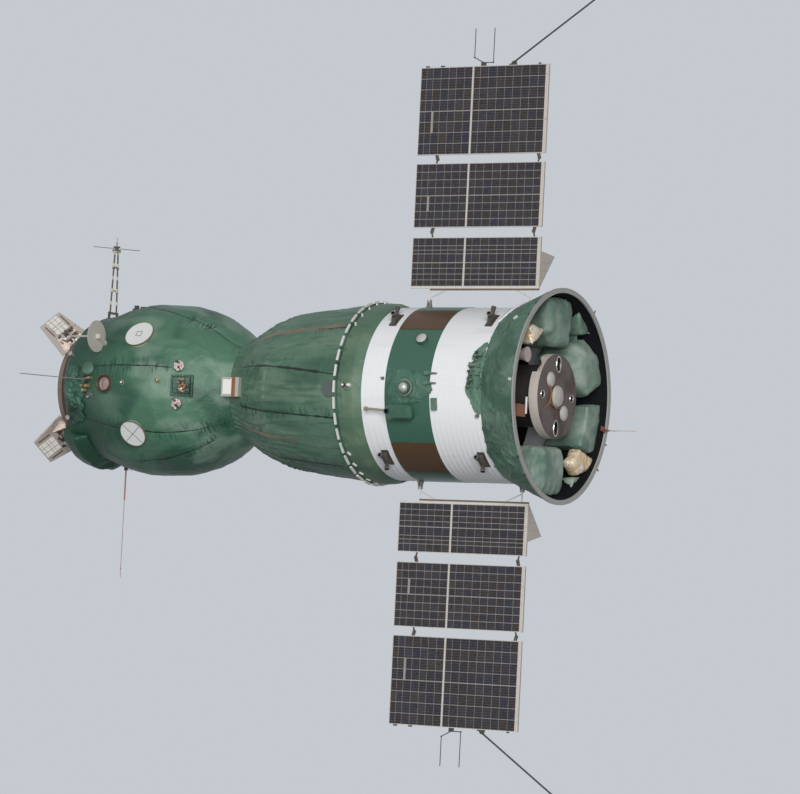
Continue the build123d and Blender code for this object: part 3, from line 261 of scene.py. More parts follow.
class Shader(Nodes):
    """One material's nodes round a Principled surface."""

    def __init__(self, name: str) -> None:
        """Start a material with an empty tree."""
        self.material = bpy.data.materials.new(name)
        super().__init__(self.material)

    def place(self) -> Value:
        """Object coordinates, which are the row frame at rest."""
        return self.node("TexCoord", output="Object")

    def axis(self, name: str) -> Value:
        """One object coordinate, X, Y or Z."""
        return self.node("SeparateXYZ", inputs={0: self.place()}, output=name)

    def stretched(self, scale: Point) -> Value:
        """Object coordinates times a scale for each axis."""
        return self.node("VectorMath", {"operation": "MULTIPLY"}, {0: self.place(), 1: scale})

    def noise(self, scale: float, detail: float = 3.0, rough: float = 0.55,
              where: Value | None = None) -> Value:
        """Noise from 0 to 1.

        Args:
            scale: turns a metre.
            detail: octaves.
            rough: how strong the fine octaves are.
            where: coordinates, or None for the object's own.

        Returns:
            The noise factor.
        """
        inputs = {"Vector": where or self.place(), "Scale": scale, "Detail": detail, "Roughness": rough}
        return self.node("TexNoise", {}, inputs, "Fac")

    def mix(self, factor: Value | float, first: Value | Colour, second: Value | Colour) -> Value:
        """Blend two colours.

        Args:
            factor: 0 for the first, 1 for the second.
            first: a colour.
            second: a colour.

        Returns:
            The blended colour.
        """
        return self.node("Mix", {"data_type": "RGBA"}, {0: factor, 6: first, 7: second}, 2)

    def bump(self, height: Value, distance: float, strength: float = 1.0,
             below: Value | None = None) -> Value:
        """Bumped normal.

        Args:
            height: the height, 0 to 1.
            distance: how high 1 is, in metres.
            strength: how much of it shows.
            below: a normal to start from.

        Returns:
            The normal.
        """
        inputs = {"Height": height, "Distance": distance, "Strength": strength}
        if below:
            inputs["Normal"] = below
        return self.node("Bump", {}, inputs)

    def finish(self, **sockets: Value | float | tuple) -> bpy.types.Material:
        """Close the tree with a Principled surface.

        Args:
            sockets: the surface's values or links, with underscores for spaces.

        Returns:
            The material.
        """
        inputs = {name.replace("_", " "): value for name, value in sockets.items()}
        self.node("OutputMaterial", {}, {"Surface": self.node("BsdfPrincipled", {}, inputs)})
        return self.material

    def speckled(self, speck: Value, tone: Value | Colour, stain: Colour, high: float = 0.8) -> Value:
        """A colour with stains where a noise is high, full at the high level."""
        return self.mix(speck.span(0.5, high) * 0.4, tone, stain)


# Finishes


@dataclass(frozen=True)
class Finish:
    """A named surface finish; each kind writes its own nodes."""

    name: str

    def material(self) -> bpy.types.Material:
        """The finish's material, made once."""
        label = f"{self.name}_look"
        return bpy.data.materials.get(label) or self.make(Shader(label))

    def make(self, shader: Shader) -> bpy.types.Material:
        """Write the nodes; overridden by each kind of finish."""
        return shader.finish()


@dataclass(frozen=True)
class BlanketCloth(Finish):
    """Silky insulation cloth: drifts of painted shade, painted crease shade in ticks along the seams and a
    broad painted sheen.

    The crease is the bump's height in metres, gather the strength of its small puckers, grain the noise's
    turns a metre on each axis, streak the strength of lengthwise strands, painted darker as shade in their
    folds, and painted_shade_before the station before which the cloth is painted dark as shade, where it
    turns away from the light.
    """

    colour: Colour = linear(70, 110, 87)
    # shade is the colour of the painted shade, pale the colour of the painted sheen
    shade: Colour = linear(24, 66, 48)
    pale: Colour = linear(126, 152, 136)
    crease: float = 0.008
    gather: float = 0.35
    grain: Point = (1.3, 1.3, 1.3)
    streak: float = 0.0
    painted_shade_before: float = -99.0

    def make(self, shader: Shader) -> bpy.types.Material:
        """Cloth drifting between three greens in painted shade and painted sheen, painted darker as shade
        before a station, with short ticks at the seams painted dark as crease shade.

        Args:
            shader: the material's empty tree.

        Returns:
            The material.
        """
        drift = shader.noise(1.0, 1.5, 0.4, shader.stretched(self.grain))
        painted_sheen_noise = shader.noise(1.6, 2.0, 0.5, shader.stretched((0.7, 1.5, 1.5)))
        # Painted shade: this mask is 0 before the station painted_shade_before, where the cloth takes the
        # shade colour, and 1 behind it.
        along = (shader.axis("X") + (drift - 0.5) * 1.6).span(self.painted_shade_before - 0.5, self.painted_shade_before + 0.4)
        tone = shader.mix(along, self.shade, self.colour)
        # Painted shade in broad random patches, standing in for the cloth's dimmer facets.
        tone = shader.mix((1.0 - drift.span(0.40, 0.50)) * 0.65, tone, self.shade)
        # Painted sheen: the pale colour in drifts, only behind that station.
        tone = shader.mix(painted_sheen_noise.span(0.46, 0.62) * along * 0.45, tone, self.pale)
        strand = shader.noise(1.0, 3.0, 0.6, shader.stretched((0.7, 16.0, 16.0)))
        # Painted shade in the folds of the lengthwise strands.
        tone = shader.mix(strand.span(0.52, 0.66) * self.streak, tone, self.shade)
        near = shader.node("Attribute", {"attribute_name": "seam"}, output="Fac")
        ticks = shader.noise(1.0, 2.0, 0.5, shader.stretched((40.0, 7.0, 7.0)))
        patch = shader.noise(3.0, 1.0).span(0.42, 0.56)
        # Painted crease shade in the short ticks along the seams.
        tone = shader.mix(near * ticks.span(0.48, 0.58) * patch, tone, self.shade)
        ridge = 1.0 - (shader.noise(6.0, 4.0, 0.55) - 0.5).absolute() * 2.0
        gathers = shader.noise(1.0, 3.0, 0.6, shader.stretched((30.0, 8.0, 8.0)))
        normal = shader.bump(ridge ** 4.0, self.crease, 0.5)
        normal = shader.bump(gathers, 0.006, self.gather, normal)
        normal = shader.bump(1.0 - near * ticks * patch, 0.008, 0.8, normal)
        normal = shader.bump(strand, 0.006, self.streak, normal)
        return shader.finish(Base_Color=tone, Roughness=0.46 + painted_sheen_noise * 0.14, Normal=normal,
                             Sheen_Weight=0.05, Sheen_Roughness=0.4, IOR=1.5)


@dataclass(frozen=True)
class Paintwork(Finish):
    """Paint on metal, with faint stains, orange peel and rubbed patches."""

    colour: Colour = linear(210, 212, 212)
    worn: Colour = linear(150, 148, 142)
    roughness: float = 0.5
    wear: float = 0.25
    metallic: float = 0.0
    gloss: float = 0.5

    def make(self, shader: Shader) -> bpy.types.Material:
        """Paint colour with stains towards the worn colour.

        Args:
            shader: the material's empty tree.

        Returns:
            The material.
        """
        stain = shader.noise(4.0, 5.0, 0.65)
        speck = shader.noise(40.0, 3.0)
        mask = (stain * 0.7 + speck * 0.3).span(0.52, 0.72) * self.wear
        tone = shader.mix(mask, self.colour, self.worn)
        normal = shader.bump(speck, 0.0008, 0.4)
        return shader.finish(Base_Color=tone, Roughness=self.roughness + (speck - 0.5) * 0.2,
                             Metallic=self.metallic, Specular_IOR_Level=self.gloss, Normal=normal)


@dataclass(frozen=True)
class TwoTone(Finish):
    """Paint in one colour within a span of one axis and another outside it."""

    axis: str
    low: float
    high: float
    inside: Colour
    outside: Colour
    roughness: float = 0.5

    def make(self, shader: Shader) -> bpy.types.Material:
        """Two colours by the distance from the frame's origin along the axis.

        Args:
            shader: the material's empty tree.

        Returns:
            The material.
        """
        along = shader.axis(self.axis).absolute()
        tone = shader.mix((along > self.low) * (along < self.high), self.outside, self.inside)
        speck = shader.noise(24.0, 4.0)
        tone = shader.speckled(speck, tone, linear(120, 112, 104))
        return shader.finish(Base_Color=tone, Roughness=self.roughness,
                             Normal=shader.bump(speck, 0.001, 0.4))


@dataclass(frozen=True)
class PanelPaint(Finish):
    """Frame paint of the wing panels, greyer between the cells and dark on the hinge ears."""

    frame: Colour = linear(200, 192, 184)
    ground: Colour = linear(152, 146, 140)
    ear: Colour = linear(92, 82, 72)
    ground_depth: float = 0.0108
    ear_spans: tuple = ((2.018, 2.141), (2.972, 3.078))

    def make(self, shader: Shader) -> bpy.types.Material:
        """Three tones by depth and by height over the long axis.

        Args:
            shader: the material's empty tree.

        Returns:
            The material.
        """
        height = shader.axis("Z").absolute()
        tone = shader.mix(shader.axis("Y").absolute() < self.ground_depth, self.frame, self.ground)
        for low, high in self.ear_spans:
            tone = shader.mix((height > low) * (height < high), tone, self.ear)
        speck = shader.noise(30.0, 4.0)
        tone = shader.speckled(speck, tone, linear(120, 108, 98))
        return shader.finish(Base_Color=tone, Roughness=0.5, Normal=shader.bump(speck, 0.001, 0.4))


@dataclass(frozen=True)
class ClipPaint(Finish):
    """White lacing clips, sewn over with cloth behind a station, between the wing roots."""

    cloth: Colour = linear(84, 104, 86)
    white: Colour = linear(222, 222, 216)
    station: float = -2.595
    half_height: float = 0.80

    def make(self, shader: Shader) -> bpy.types.Material:
        """White before the station and by the wing roots, cloth colour between.

        Args:
            shader: the material's empty tree.

        Returns:
            The material.
        """
        covered = (shader.axis("X") > self.station) * (shader.axis("Z").absolute() < self.half_height)
        speck = shader.noise(30.0, 4.0)
        tone = shader.speckled(speck, self.white, linear(150, 142, 132), 0.75)
        return shader.finish(Base_Color=shader.mix(covered, tone, self.cloth), Roughness=0.5,
                             Normal=shader.bump(speck, 0.001, 0.5))


@dataclass(frozen=True)
class RadiatorPaint(Finish):
    """White radiator enamel with rub marks and faint stains."""

    colour: Colour = linear(238, 239, 240)
    shade: Colour = linear(204, 207, 208)

    def make(self, shader: Shader) -> bpy.types.Material:
        """Enamel with stains that run round the hull.

        Args:
            shader: the material's empty tree.

        Returns:
            The material.
        """
        stain = shader.noise(2.5, 5.0, 0.6, shader.stretched((0.35, 2.0, 2.0)))
        streak = shader.noise(14.0, 3.0, 0.5, shader.stretched((3.0, 0.4, 0.4)))
        mask = stain.span(0.5, 0.8) * 0.3 + streak.span(0.6, 0.8) * 0.25
        return shader.finish(Base_Color=shader.mix(mask, self.colour, self.shade),
                             Roughness=0.42 + stain * 0.15, Normal=shader.bump(streak, 0.001, 0.3))


@dataclass(frozen=True)
class BareMetal(Finish):
    """Machined or rolled metal with brushing and oxide patches."""

    colour: Colour = linear(168, 168, 166)
    dark: Colour = linear(112, 108, 104)
    roughness: float = 0.34
    brushing: Point = (6.0, 90.0, 90.0)

    def make(self, shader: Shader) -> bpy.types.Material:
        """Metal with stretched scratches.

        Args:
            shader: the material's empty tree.

        Returns:
            The material.
        """
        oxide = shader.noise(5.0, 5.0, 0.6)
        brushed = shader.noise(1.0, 3.0, 0.6, shader.stretched(self.brushing))
        tone = shader.mix(oxide.span(0.42, 0.72), self.colour, self.dark)
        normal = shader.bump(brushed, 0.0006, 0.3)
        return shader.finish(Base_Color=tone, Metallic=0.85,
                             Roughness=self.roughness + (brushed - 0.5) * 0.25, Normal=normal)


@dataclass(frozen=True)
class StainedFace(Finish):
    """Heat-stained face of the engine drum, its pale rim and dark core."""

    colour: Colour = linear(97, 86, 80)
    scorch: Colour = linear(72, 58, 53)
    rust: Colour = linear(120, 82, 52)
    rim: Colour = linear(206, 196, 188)
    core: Colour = linear(58, 54, 52)
    face_front: float = -0.088
    rim_front: float = -0.212

    def make(self, shader: Shader) -> bpy.types.Material:
        """Metal with scorched patches and rust-brown runs.

        Args:
            shader: the material's empty tree.

        Returns:
            The material.
        """
        scorch = shader.noise(3.2, 5.0, 0.62)
        run = shader.noise(4.0, 4.0, 0.6, shader.stretched((1.0, 3.0, 0.7)))
        tone = shader.mix(scorch.span(0.42, 0.62), self.colour, self.scorch)
        tone = shader.mix(run.span(0.6, 0.72) * 0.7, tone, self.rust)
        station = shader.axis("X")
        side = shader.mix(station < self.rim_front, self.rim, self.core)
        tone = shader.mix(station < self.face_front, tone, side)
        normal = shader.bump(shader.noise(26.0, 4.0), 0.002, 0.4)
        return shader.finish(Base_Color=tone, Metallic=0.2, Roughness=0.45 + scorch * 0.2, Normal=normal)


@dataclass(frozen=True)
class BandedPaint(Finish):
    """Dark paint with pale bands up the mast."""

    dark: Colour = linear(72, 64, 46)
    pale: Colour = linear(184, 178, 160)
    pitch: float = 0.17
    start: float = 1.02
    dark_share: float = 0.70

    def make(self, shader: Shader) -> bpy.types.Material:
        """Two colours by height, with chipped edges.

        Args:
            shader: the material's empty tree.

        Returns:
            The material.
        """
        height = shader.axis("Z") - self.start + (shader.noise(30.0) - 0.5) * 0.01
        band = (height / self.pitch).fraction() > self.dark_share
        tone = shader.mix(band, self.dark, self.pale)
        return shader.finish(Base_Color=tone, Roughness=0.5,
                             Normal=shader.bump(shader.noise(60.0), 0.0008, 0.4))


@dataclass(frozen=True)
class CellGlass(Finish):
    """Solar cells: each tile has its own tint, cut into strips by fine pale conductors."""

    strips: int = 4

    def make(self, shader: Shader) -> bpy.types.Material:
        """Tint and strip direction come from the tile, place in the tile from its map.

        Args:
            shader: the material's empty tree.

        Returns:
            The material.
        """
        tile = shader.node("Attribute", {"attribute_name": "tile"}, output="Color")
        tint = shader.node("SeparateColor", {}, {0: tile}, 0)
        upright = shader.node("SeparateColor", {}, {0: tile}, 1)
        light = shader.node("SeparateColor", {}, {0: tile}, 2)
        place = shader.node("UVMap", {"uv_map": "tile_map"})
        across = shader.node("SeparateXYZ", {}, {0: place}, "X")
        along = shader.node("SeparateXYZ", {}, {0: place}, "Y")
        line = across * upright + along * (1.0 - upright)
        edge = ((line * float(self.strips)).fraction() - 0.5).absolute()
        conductor = edge.span(0.40, 0.47)
        stops = [(0.0, linear(38, 38, 48)), (0.3, linear(46, 40, 40)), (0.5, linear(36, 38, 52)),
                 (0.68, linear(48, 40, 37)), (0.85, linear(40, 42, 54)), (1.0, linear(42, 38, 42))]
        tone = shader.node("ValToRGB", {"stops": stops}, {0: tint})
        tone = shader.mix(light * 0.12, tone, linear(110, 104, 100))
        tone = shader.mix(shader.noise(22.0, 5.0, 0.7).span(0.48, 0.66) * 0.4, tone, linear(74, 68, 70))
        tone = shader.mix(shader.noise(30.0, 4.0, 0.7).span(0.52, 0.66) * 0.6, tone, linear(24, 22, 26))
        tone = shader.mix(conductor * 0.45, tone, linear(112, 106, 104))
        return shader.finish(Base_Color=tone, Roughness=0.3 + conductor * 0.25, Specular_IOR_Level=0.4,
                             Normal=shader.bump(1.0 - conductor, 0.0006, 0.5))


@dataclass(frozen=True)
class PaneGlass(Finish):
    """Thick window pane, its pale pink colour a painted reflection over the warm dark room behind it."""

    colour: Colour = linear(190, 170, 162)

    def make(self, shader: Shader) -> bpy.types.Material:
        """Polished pane in its painted pale reflection, darker in random cloudy patches.

        Args:
            shader: the material's empty tree.

        Returns:
            The material.
        """
        cloud = shader.noise(14.0, 3.0)
        return shader.finish(Base_Color=shader.mix(cloud, self.colour, linear(120, 92, 88)),
                             Roughness=0.08, Coat_Weight=0.6, Normal=shader.bump(cloud, 0.001, 0.2))


@dataclass(frozen=True)
class CrinkledFoil(Finish):
    """Gold and white film, sharply crinkled."""

    colour: Colour = linear(226, 196, 152)
    pale: Colour = linear(250, 244, 234)
    # crease colour: painted shade in the crinkles
    crease: Colour = linear(146, 104, 62)

    def make(self, shader: Shader) -> bpy.types.Material:
        """Film facets by cell noise.

        Args:
            shader: the material's empty tree.

        Returns:
            The material.
        """
        cells = {"Vector": shader.place(), "Scale": 22.0}
        facet = shader.node("TexVoronoi", {"feature": "F1"}, cells, "Distance")
        crush = shader.noise(30.0, 5.0, 0.7)
        tone = shader.mix(shader.noise(6.0).span(0.4, 0.65), self.colour, self.pale)
        # Painted shade: the dark brown crease colour in noise patches stands in for the shade in the
        # crinkles.
        tone = shader.mix(shader.noise(12.0, 5.0, 0.7).span(0.54, 0.66) * 0.7, tone, self.crease)
        normal = shader.bump(facet * 0.7 + crush * 0.3, 0.01, 0.8)
        return shader.finish(Base_Color=tone, Metallic=0.3, Roughness=0.3 + crush * 0.2, Normal=normal)


@dataclass(frozen=True)
class FloorPaint(Finish):
    """Plain pale studio floor."""

    def make(self, shader: Shader) -> bpy.types.Material:
        """Matt pale grey.

        Args:
            shader: the material's empty tree.

        Returns:
            The material.
        """
        grain = shader.noise(3.0, 4.0)
        tone = shader.mix(grain, linear(206, 211, 216), linear(212, 216, 220))
        return shader.finish(Base_Color=tone, Roughness=0.8)


# In every cloth below, the pale colour is painted sheen and the shade colour painted shade; the orbital cloth
# is painted in shade before station -6.05.
HULL_CLOTH = BlanketCloth("hull_cloth", pale=linear(138, 160, 144), painted_shade_before=-6.05)
# The bell cloth's lengthwise strands are painted darker as shade in their folds.
BELL_CLOTH = BlanketCloth("bell_cloth", linear(84, 116, 96), linear(44, 80, 60), linear(118, 138, 120), 0.006,
                          0.15, (0.5, 2.2, 2.2), 0.5)
PALE_CLOTH = BlanketCloth("transfer_cloth", linear(80, 108, 86), linear(68, 96, 78), linear(112, 130, 108),
                          0.004, 0.9, (2.0, 3.0, 3.0), 0.3)
# The dark cloth's near-black shade colour is painted shade in the hollows of the crumples.
DARK_CLOTH = BlanketCloth("dark_cloth", linear(34, 78, 60), linear(6, 22, 16), linear(72, 112, 94), 0.03)
BAND_CLOTH = BlanketCloth("band_cloth", linear(68, 106, 88), linear(40, 78, 62), linear(100, 130, 114),
                          0.02, 0.2, (5.0, 5.0, 5.0))
SKIRT_CLOTH = BlanketCloth("skirt_cloth", linear(84, 118, 98), linear(50, 84, 66), linear(124, 146, 130),
                           0.02, 0.1, (1.6, 1.6, 1.6))
BAY_CLOTH = BlanketCloth("bay_cloth", linear(116, 138, 124), linear(70, 98, 84), linear(166, 178, 166),
                         0.01, 0.15)
THREAD = BlanketCloth("seam_thread", linear(20, 32, 26), linear(14, 22, 18), linear(48, 50, 40), 0.002)
SEAM_TAPE = BlanketCloth("seam_tape", linear(116, 110, 92), linear(92, 84, 70), linear(140, 128, 108), 0.004)
CLIPS = ClipPaint("clip_paint")
RADIATOR = RadiatorPaint("radiator_enamel")
BROWN = Paintwork("brown_cover_paint", linear(84, 61, 38), linear(96, 78, 58), 0.42, 0.4)
BAND = Paintwork("band_paint", linear(60, 98, 82), linear(46, 76, 64), 0.34, 0.5)
ION_TONE = TwoTone("ion_housing_paint", "X", 1.90, 9.0, linear(150, 142, 124), linear(56, 96, 76), 0.3)
MOSS = Paintwork("fitting_green_paint", linear(96, 118, 102), linear(60, 84, 70), 0.5, 0.6)
PLATE_TONE = Paintwork("half_plate_paint", linear(84, 94, 88), linear(48, 56, 52), 0.5, 0.6)
OLIVE = Paintwork("olive_paint", linear(80, 90, 66), linear(52, 60, 44), 0.5, 0.6)
WHITE = Paintwork("white_paint", linear(220, 222, 220), linear(176, 174, 168), 0.5, 0.3)
CAP_WHITE = Paintwork("cover_paint", linear(190, 186, 180), linear(148, 142, 134), 0.5, 0.6)
PANEL = PanelPaint("panel_paint")
GUSSET_GREY = Paintwork("gusset_paint", linear(150, 144, 138), linear(120, 112, 102), 0.55, 0.4)
ROOT_TONE = TwoTone("root_paint", "Z", 1.3355, 1.3585, linear(110, 90, 74), linear(206, 204, 200))
RING_PAINT = Paintwork("aft_ring_paint", linear(158, 158, 154), linear(122, 118, 114), 0.45, 0.5)
GREY = Paintwork("grey_paint", linear(132, 128, 122), linear(88, 82, 76), 0.5, 0.6)
SOOT = Paintwork("soot_paint", linear(76, 68, 62), linear(36, 31, 28), 0.5, 0.9)
DARK_GREY = Paintwork("dark_grey_paint", linear(62, 60, 58), linear(100, 96, 92), 0.5, 0.5)
# Near-black painted shade for the inside of the skirt, the core bulkhead, the nozzle throats and a lens
# opening.
PAINTED_SHADE = Paintwork("interior_paint", linear(16, 18, 20), linear(30, 34, 34), 0.8, 0.3, gloss=0.1)
LENS_PINK = Paintwork("lamp_lens", linear(212, 190, 184), linear(128, 106, 102), 0.25, 0.8)
RED_RIM = Paintwork("rim_paint", linear(70, 28, 18), linear(110, 70, 56), 0.45, 0.4)
WHIP_RED = Paintwork("whip_paint", linear(150, 104, 98), linear(110, 84, 80), 0.45, 0.4)
RIM_GOLD = Paintwork("rim_gold", linear(118, 110, 86), linear(88, 78, 56), 0.4, 0.6)
RUST = Paintwork("rust_paint", linear(136, 92, 58), linear(84, 58, 42), 0.5, 0.8)
MARK_GREY = Paintwork("mark_grey", linear(128, 124, 120), linear(100, 96, 92), 0.5, 0.4)
TARGET_PAINT = Paintwork("target_paint", linear(190, 184, 174), linear(140, 126, 112), 0.55, 0.8)
SILVER = Paintwork("silver_paint", linear(186, 186, 178), linear(120, 118, 110), 0.35, 0.8, 0.3)
BAY_TONE = TwoTone("bay_fitting_paint", "Z", -1.0, 0.36, linear(136, 84, 56), linear(190, 174, 168))
PROBE_TONE = TwoTone("probe_paint", "X", -1.0, 0.07, linear(120, 66, 50), linear(206, 190, 184))
BARE = Paintwork("bare_metal", linear(128, 112, 102), linear(74, 60, 52), 0.4, 0.9, 0.3)
PAD_WHITE = Paintwork("pad_plate", linear(240, 236, 230), linear(190, 180, 166), 0.3, 0.4)
# The petal metal's dark brown worn colour, laid in noise patches, is a painted reflection.
PETAL_METAL = Paintwork("petal_metal", linear(204, 192, 182), linear(96, 78, 64), 0.34, 0.9, 0.4)
PETAL_SHADE = Paintwork("petal_shade", linear(112, 92, 82), linear(66, 58, 50), 0.4, 0.9, 0.3)
STEEL = BareMetal("dark_steel", linear(120, 118, 116), linear(70, 66, 64), 0.3)
SHINY = BareMetal("polished_steel", linear(214, 210, 206), linear(150, 144, 140), 0.15)
GOLD = Paintwork("gold_film", linear(176, 158, 112), linear(110, 88, 56), 0.3, 0.8, 0.5)
DRUM = StainedFace("drum_metal")
MAST_PAINT = BandedPaint("mast_paint")
CELLS = CellGlass("solar_cells")
PANE = PaneGlass("window_pane")
FOIL = CrinkledFoil("crinkled_foil")
FLOOR = FloorPaint("floor_paint")


# Geometry


def seat(station: float, radius: float, angle: float, lean: float = 0.0) -> Matrix:
    """Place on the hull: local z outward, x aft, y up the angle.

    Args:
        station: place along X.
        radius: distance from the long axis.
        angle: degrees round the hull.
        lean: degrees that local z leans aft.

    Returns:
        The place as a matrix.
    """
    c, s = math.cos(math.radians(angle)), math.sin(math.radians(angle))
    rows = ((1, 0, 0, station), (0, s, -c, -radius * c), (0, c, s, radius * s), (0, 0, 0, 1))
    return Matrix(rows) @ Matrix.Rotation(math.radians(lean), 4, "Y")


def hull_point(station: float, radius: float, angle: float) -> Vector:
    """Point at a station, a radius and an angle."""
    turn = math.radians(angle)
    return Vector((station, -radius * math.cos(turn), radius * math.sin(turn)))


def facing(origin: Vector, way: Vector) -> Matrix:
    """Place at a point with local z along a direction."""
    return Matrix.Translation(origin) @ way.to_track_quat("Z", "Y").to_matrix().to_4x4()


def moved(place: Matrix, x: float = 0.0, y: float = 0.0, z: float = 0.0) -> Matrix:
    """A place moved along its own axes."""
    return place @ Matrix.Translation((x, y, z))


def turned(place: Matrix, degrees: float, axis: str) -> Matrix:
    """A place turned about one of its own axes."""
    return place @ Matrix.Rotation(math.radians(degrees), 4, axis)


def ring(radius: float, count: int, height: float = 0.0) -> list[Vector]:
    """Points evenly round local z."""
    turns = [2 * math.pi * step / count for step in range(count)]
    return [Vector((radius * math.cos(turn), radius * math.sin(turn), height)) for turn in turns]


def strip_faces(rows: int, width: int, closed: bool) -> list[Face]:
    """Four-cornered faces between rows of points.

    Args:
        rows: how many rows there are.
        width: points in a row.
        closed: whether a row's last point joins its first.

    Returns:
        The faces, row by row.
    """
    faces = []
    for row in range(rows - 1):
        for column in range(width if closed else width - 1):
            a, b = row * width + column, row * width + (column + 1) % width
            faces.append((a, b, b + width, a + width))
    return faces


@dataclass
class Form:
    """A mesh being gathered, each face with the number of its finish."""

    points: list[Vector] = field(default_factory=list)
    faces: list[Face] = field(default_factory=list)
    finish_of: list[int] = field(default_factory=list)

    def add(self, points: list[Vector], faces: list[Face], finish: int = 0) -> None:
        """Add points and the faces between them.

        Args:
            points: the new points.
            faces: corner numbers within the new points.
            finish: which finish the faces take.
        """
        start = len(self.points)
        self.points += [Vector(p) for p in points]
        self.faces += [tuple(start + i for i in face) for face in faces]
        self.finish_of += [finish] * len(faces)

    def box(self, place: Matrix, size: Point, finish: int = 0, taper: float = 1.0) -> None:
        """Box standing on its local plane, its top scaled by taper.

        Args:
            place: where its foot's centre is.
            size: length, width and height.
            finish: which finish it takes.
            taper: scale of the top against the foot.
        """
        length, width, height = size
        points = []
        for z, scale in ((0.0, 1.0), (height, taper)):
            for x, y in ((-1, -1), (1, -1), (1, 1), (-1, 1)):
                points.append(place @ Vector((x * length / 2 * scale, y * width / 2 * scale, z)))
        faces = [(3, 2, 1, 0), (4, 5, 6, 7), (0, 1, 5, 4), (1, 2, 6, 5), (2, 3, 7, 6), (3, 0, 4, 7)]
        self.add(points, faces, finish)

    def lathe(self, place: Matrix, profile: Profile, segments: int = 24, finish: int = 0) -> None:
        """Body turned about its local z.

        Args:
            place: where its axis stands.
            profile: radius and height pairs from the foot.
            segments: how many steps round.
            finish: which finish it takes.
        """
        points = [place @ spot for radius, height in profile for spot in ring(radius, segments, height)]
        self.add(points, strip_faces(len(profile), segments, True), finish)

    def tube(self, path: list[Vector], radii: float | list[float], sides: int = 8, finish: int = 0) -> None:
        """Capped tube along points.

        Args:
            path: the points of its centreline.
            radii: its radius, or one for each point.
            sides: how many sides it has.
            finish: which finish it takes.
        """
        path = [Vector(p) for p in path]
        sizes = radii if isinstance(radii, list) else [radii] * len(path)
        points = []
        before = None
        for index, (point, size) in enumerate(zip(path, sizes)):
            ahead = path[min(index + 1, len(path) - 1)] - path[max(index - 1, 0)]
            turn = ahead.to_track_quat("Z", "Y") if before is None else before
            axis = turn @ Vector((0, 0, 1))
            turn = axis.rotation_difference(ahead) @ turn
            before = turn
            points += [point + turn @ spot for spot in ring(size, sides)]
        faces = strip_faces(len(path), sides, True)
        last = (len(path) - 1) * sides
        faces.append(tuple(reversed(range(sides))))
        faces.append(tuple(range(last, last + sides)))
        self.add(points, faces, finish)

    def ball(self, centre: Vector, radius: float, finish: int = 0, rings: int = 8) -> None:
        """Round ball.

        Args:
            centre: its centre.
            radius: its radius.
            finish: which finish it takes.
            rings: how many steps from pole to pole.
        """
        profile = []
        for step in range(rings + 1):
            turn = math.pi * step / rings
            profile.append((max(radius * math.sin(turn), 1e-5), -radius * math.cos(turn)))
        self.lathe(Matrix.Translation(centre), profile, 2 * rings, finish)

    def grid(self, rows: list[list[Vector]], closed: bool = False, finish: int = 0) -> None:
        """Sheet over rows of points, closed round or open."""
        self.add([p for row in rows for p in row], strip_faces(len(rows), len(rows[0]), closed), finish)

    def build(self, name: str, finishes: list[Finish], slot: Slot, bevel: float = 0.0,
              sharp: float = 40.0, body: Body = Body.HULL) -> bpy.types.Object:
        """Make the object, dressed and riding on its body.

        Args:
            name: the object's name.
            finishes: the finishes that its faces number.
            slot: the record's slot; not used.
            bevel: width of its edges' bevel, 0 for none.
            sharp: degrees above which an edge stays sharp.
            body: the body it rides on.

        Returns:
            The new object.
        """
        mesh = bpy.data.meshes.new(name)
        mesh.from_pydata([tuple(p) for p in self.points], [], self.faces)
        for finish in finishes:
            mesh.materials.append(finish.material())
        mesh.polygons.foreach_set("material_index", self.finish_of)
        mesh.polygons.foreach_set("use_smooth", [True] * len(self.faces))
        mesh.set_sharp_from_angle(angle=math.radians(sharp))
        mesh.validate()
        piece = bpy.data.objects.new(name, mesh)
        bpy.context.scene.collection.objects.link(piece)
        if bevel:
            edge = piece.modifiers.new("edges", "BEVEL")
            edge.width = bevel
            edge.segments = 2
            edge.limit_method = "ANGLE"
        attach(piece, body.value)
        log.info("%s: %d faces", name, len(self.faces))
        return piece


def dress(finish: Finish, *nodes: str) -> None:
    """Give solids their finish.

    Args:
        finish: the finish.
        nodes: the solids' names.
    """
    for node in nodes:
        mesh = frame["nodes"][node].data
        mesh.materials.clear()
        mesh.materials.append(finish.material())


def search_tree(*meshes: bpy.types.Mesh) -> BVHTree:
    """Search tree over some meshes.

    Args:
        meshes: the meshes, each in its own coordinates.

    Returns:
        One tree over all of their faces.
    """
    points, faces = [], []
    for mesh in meshes:
        start = len(points)
        points += [v.co.copy() for v in mesh.vertices]
        faces += [tuple(start + i for i in p.vertices) for p in mesh.polygons]
    return BVHTree.FromPolygons(points, faces)


# Soft goods


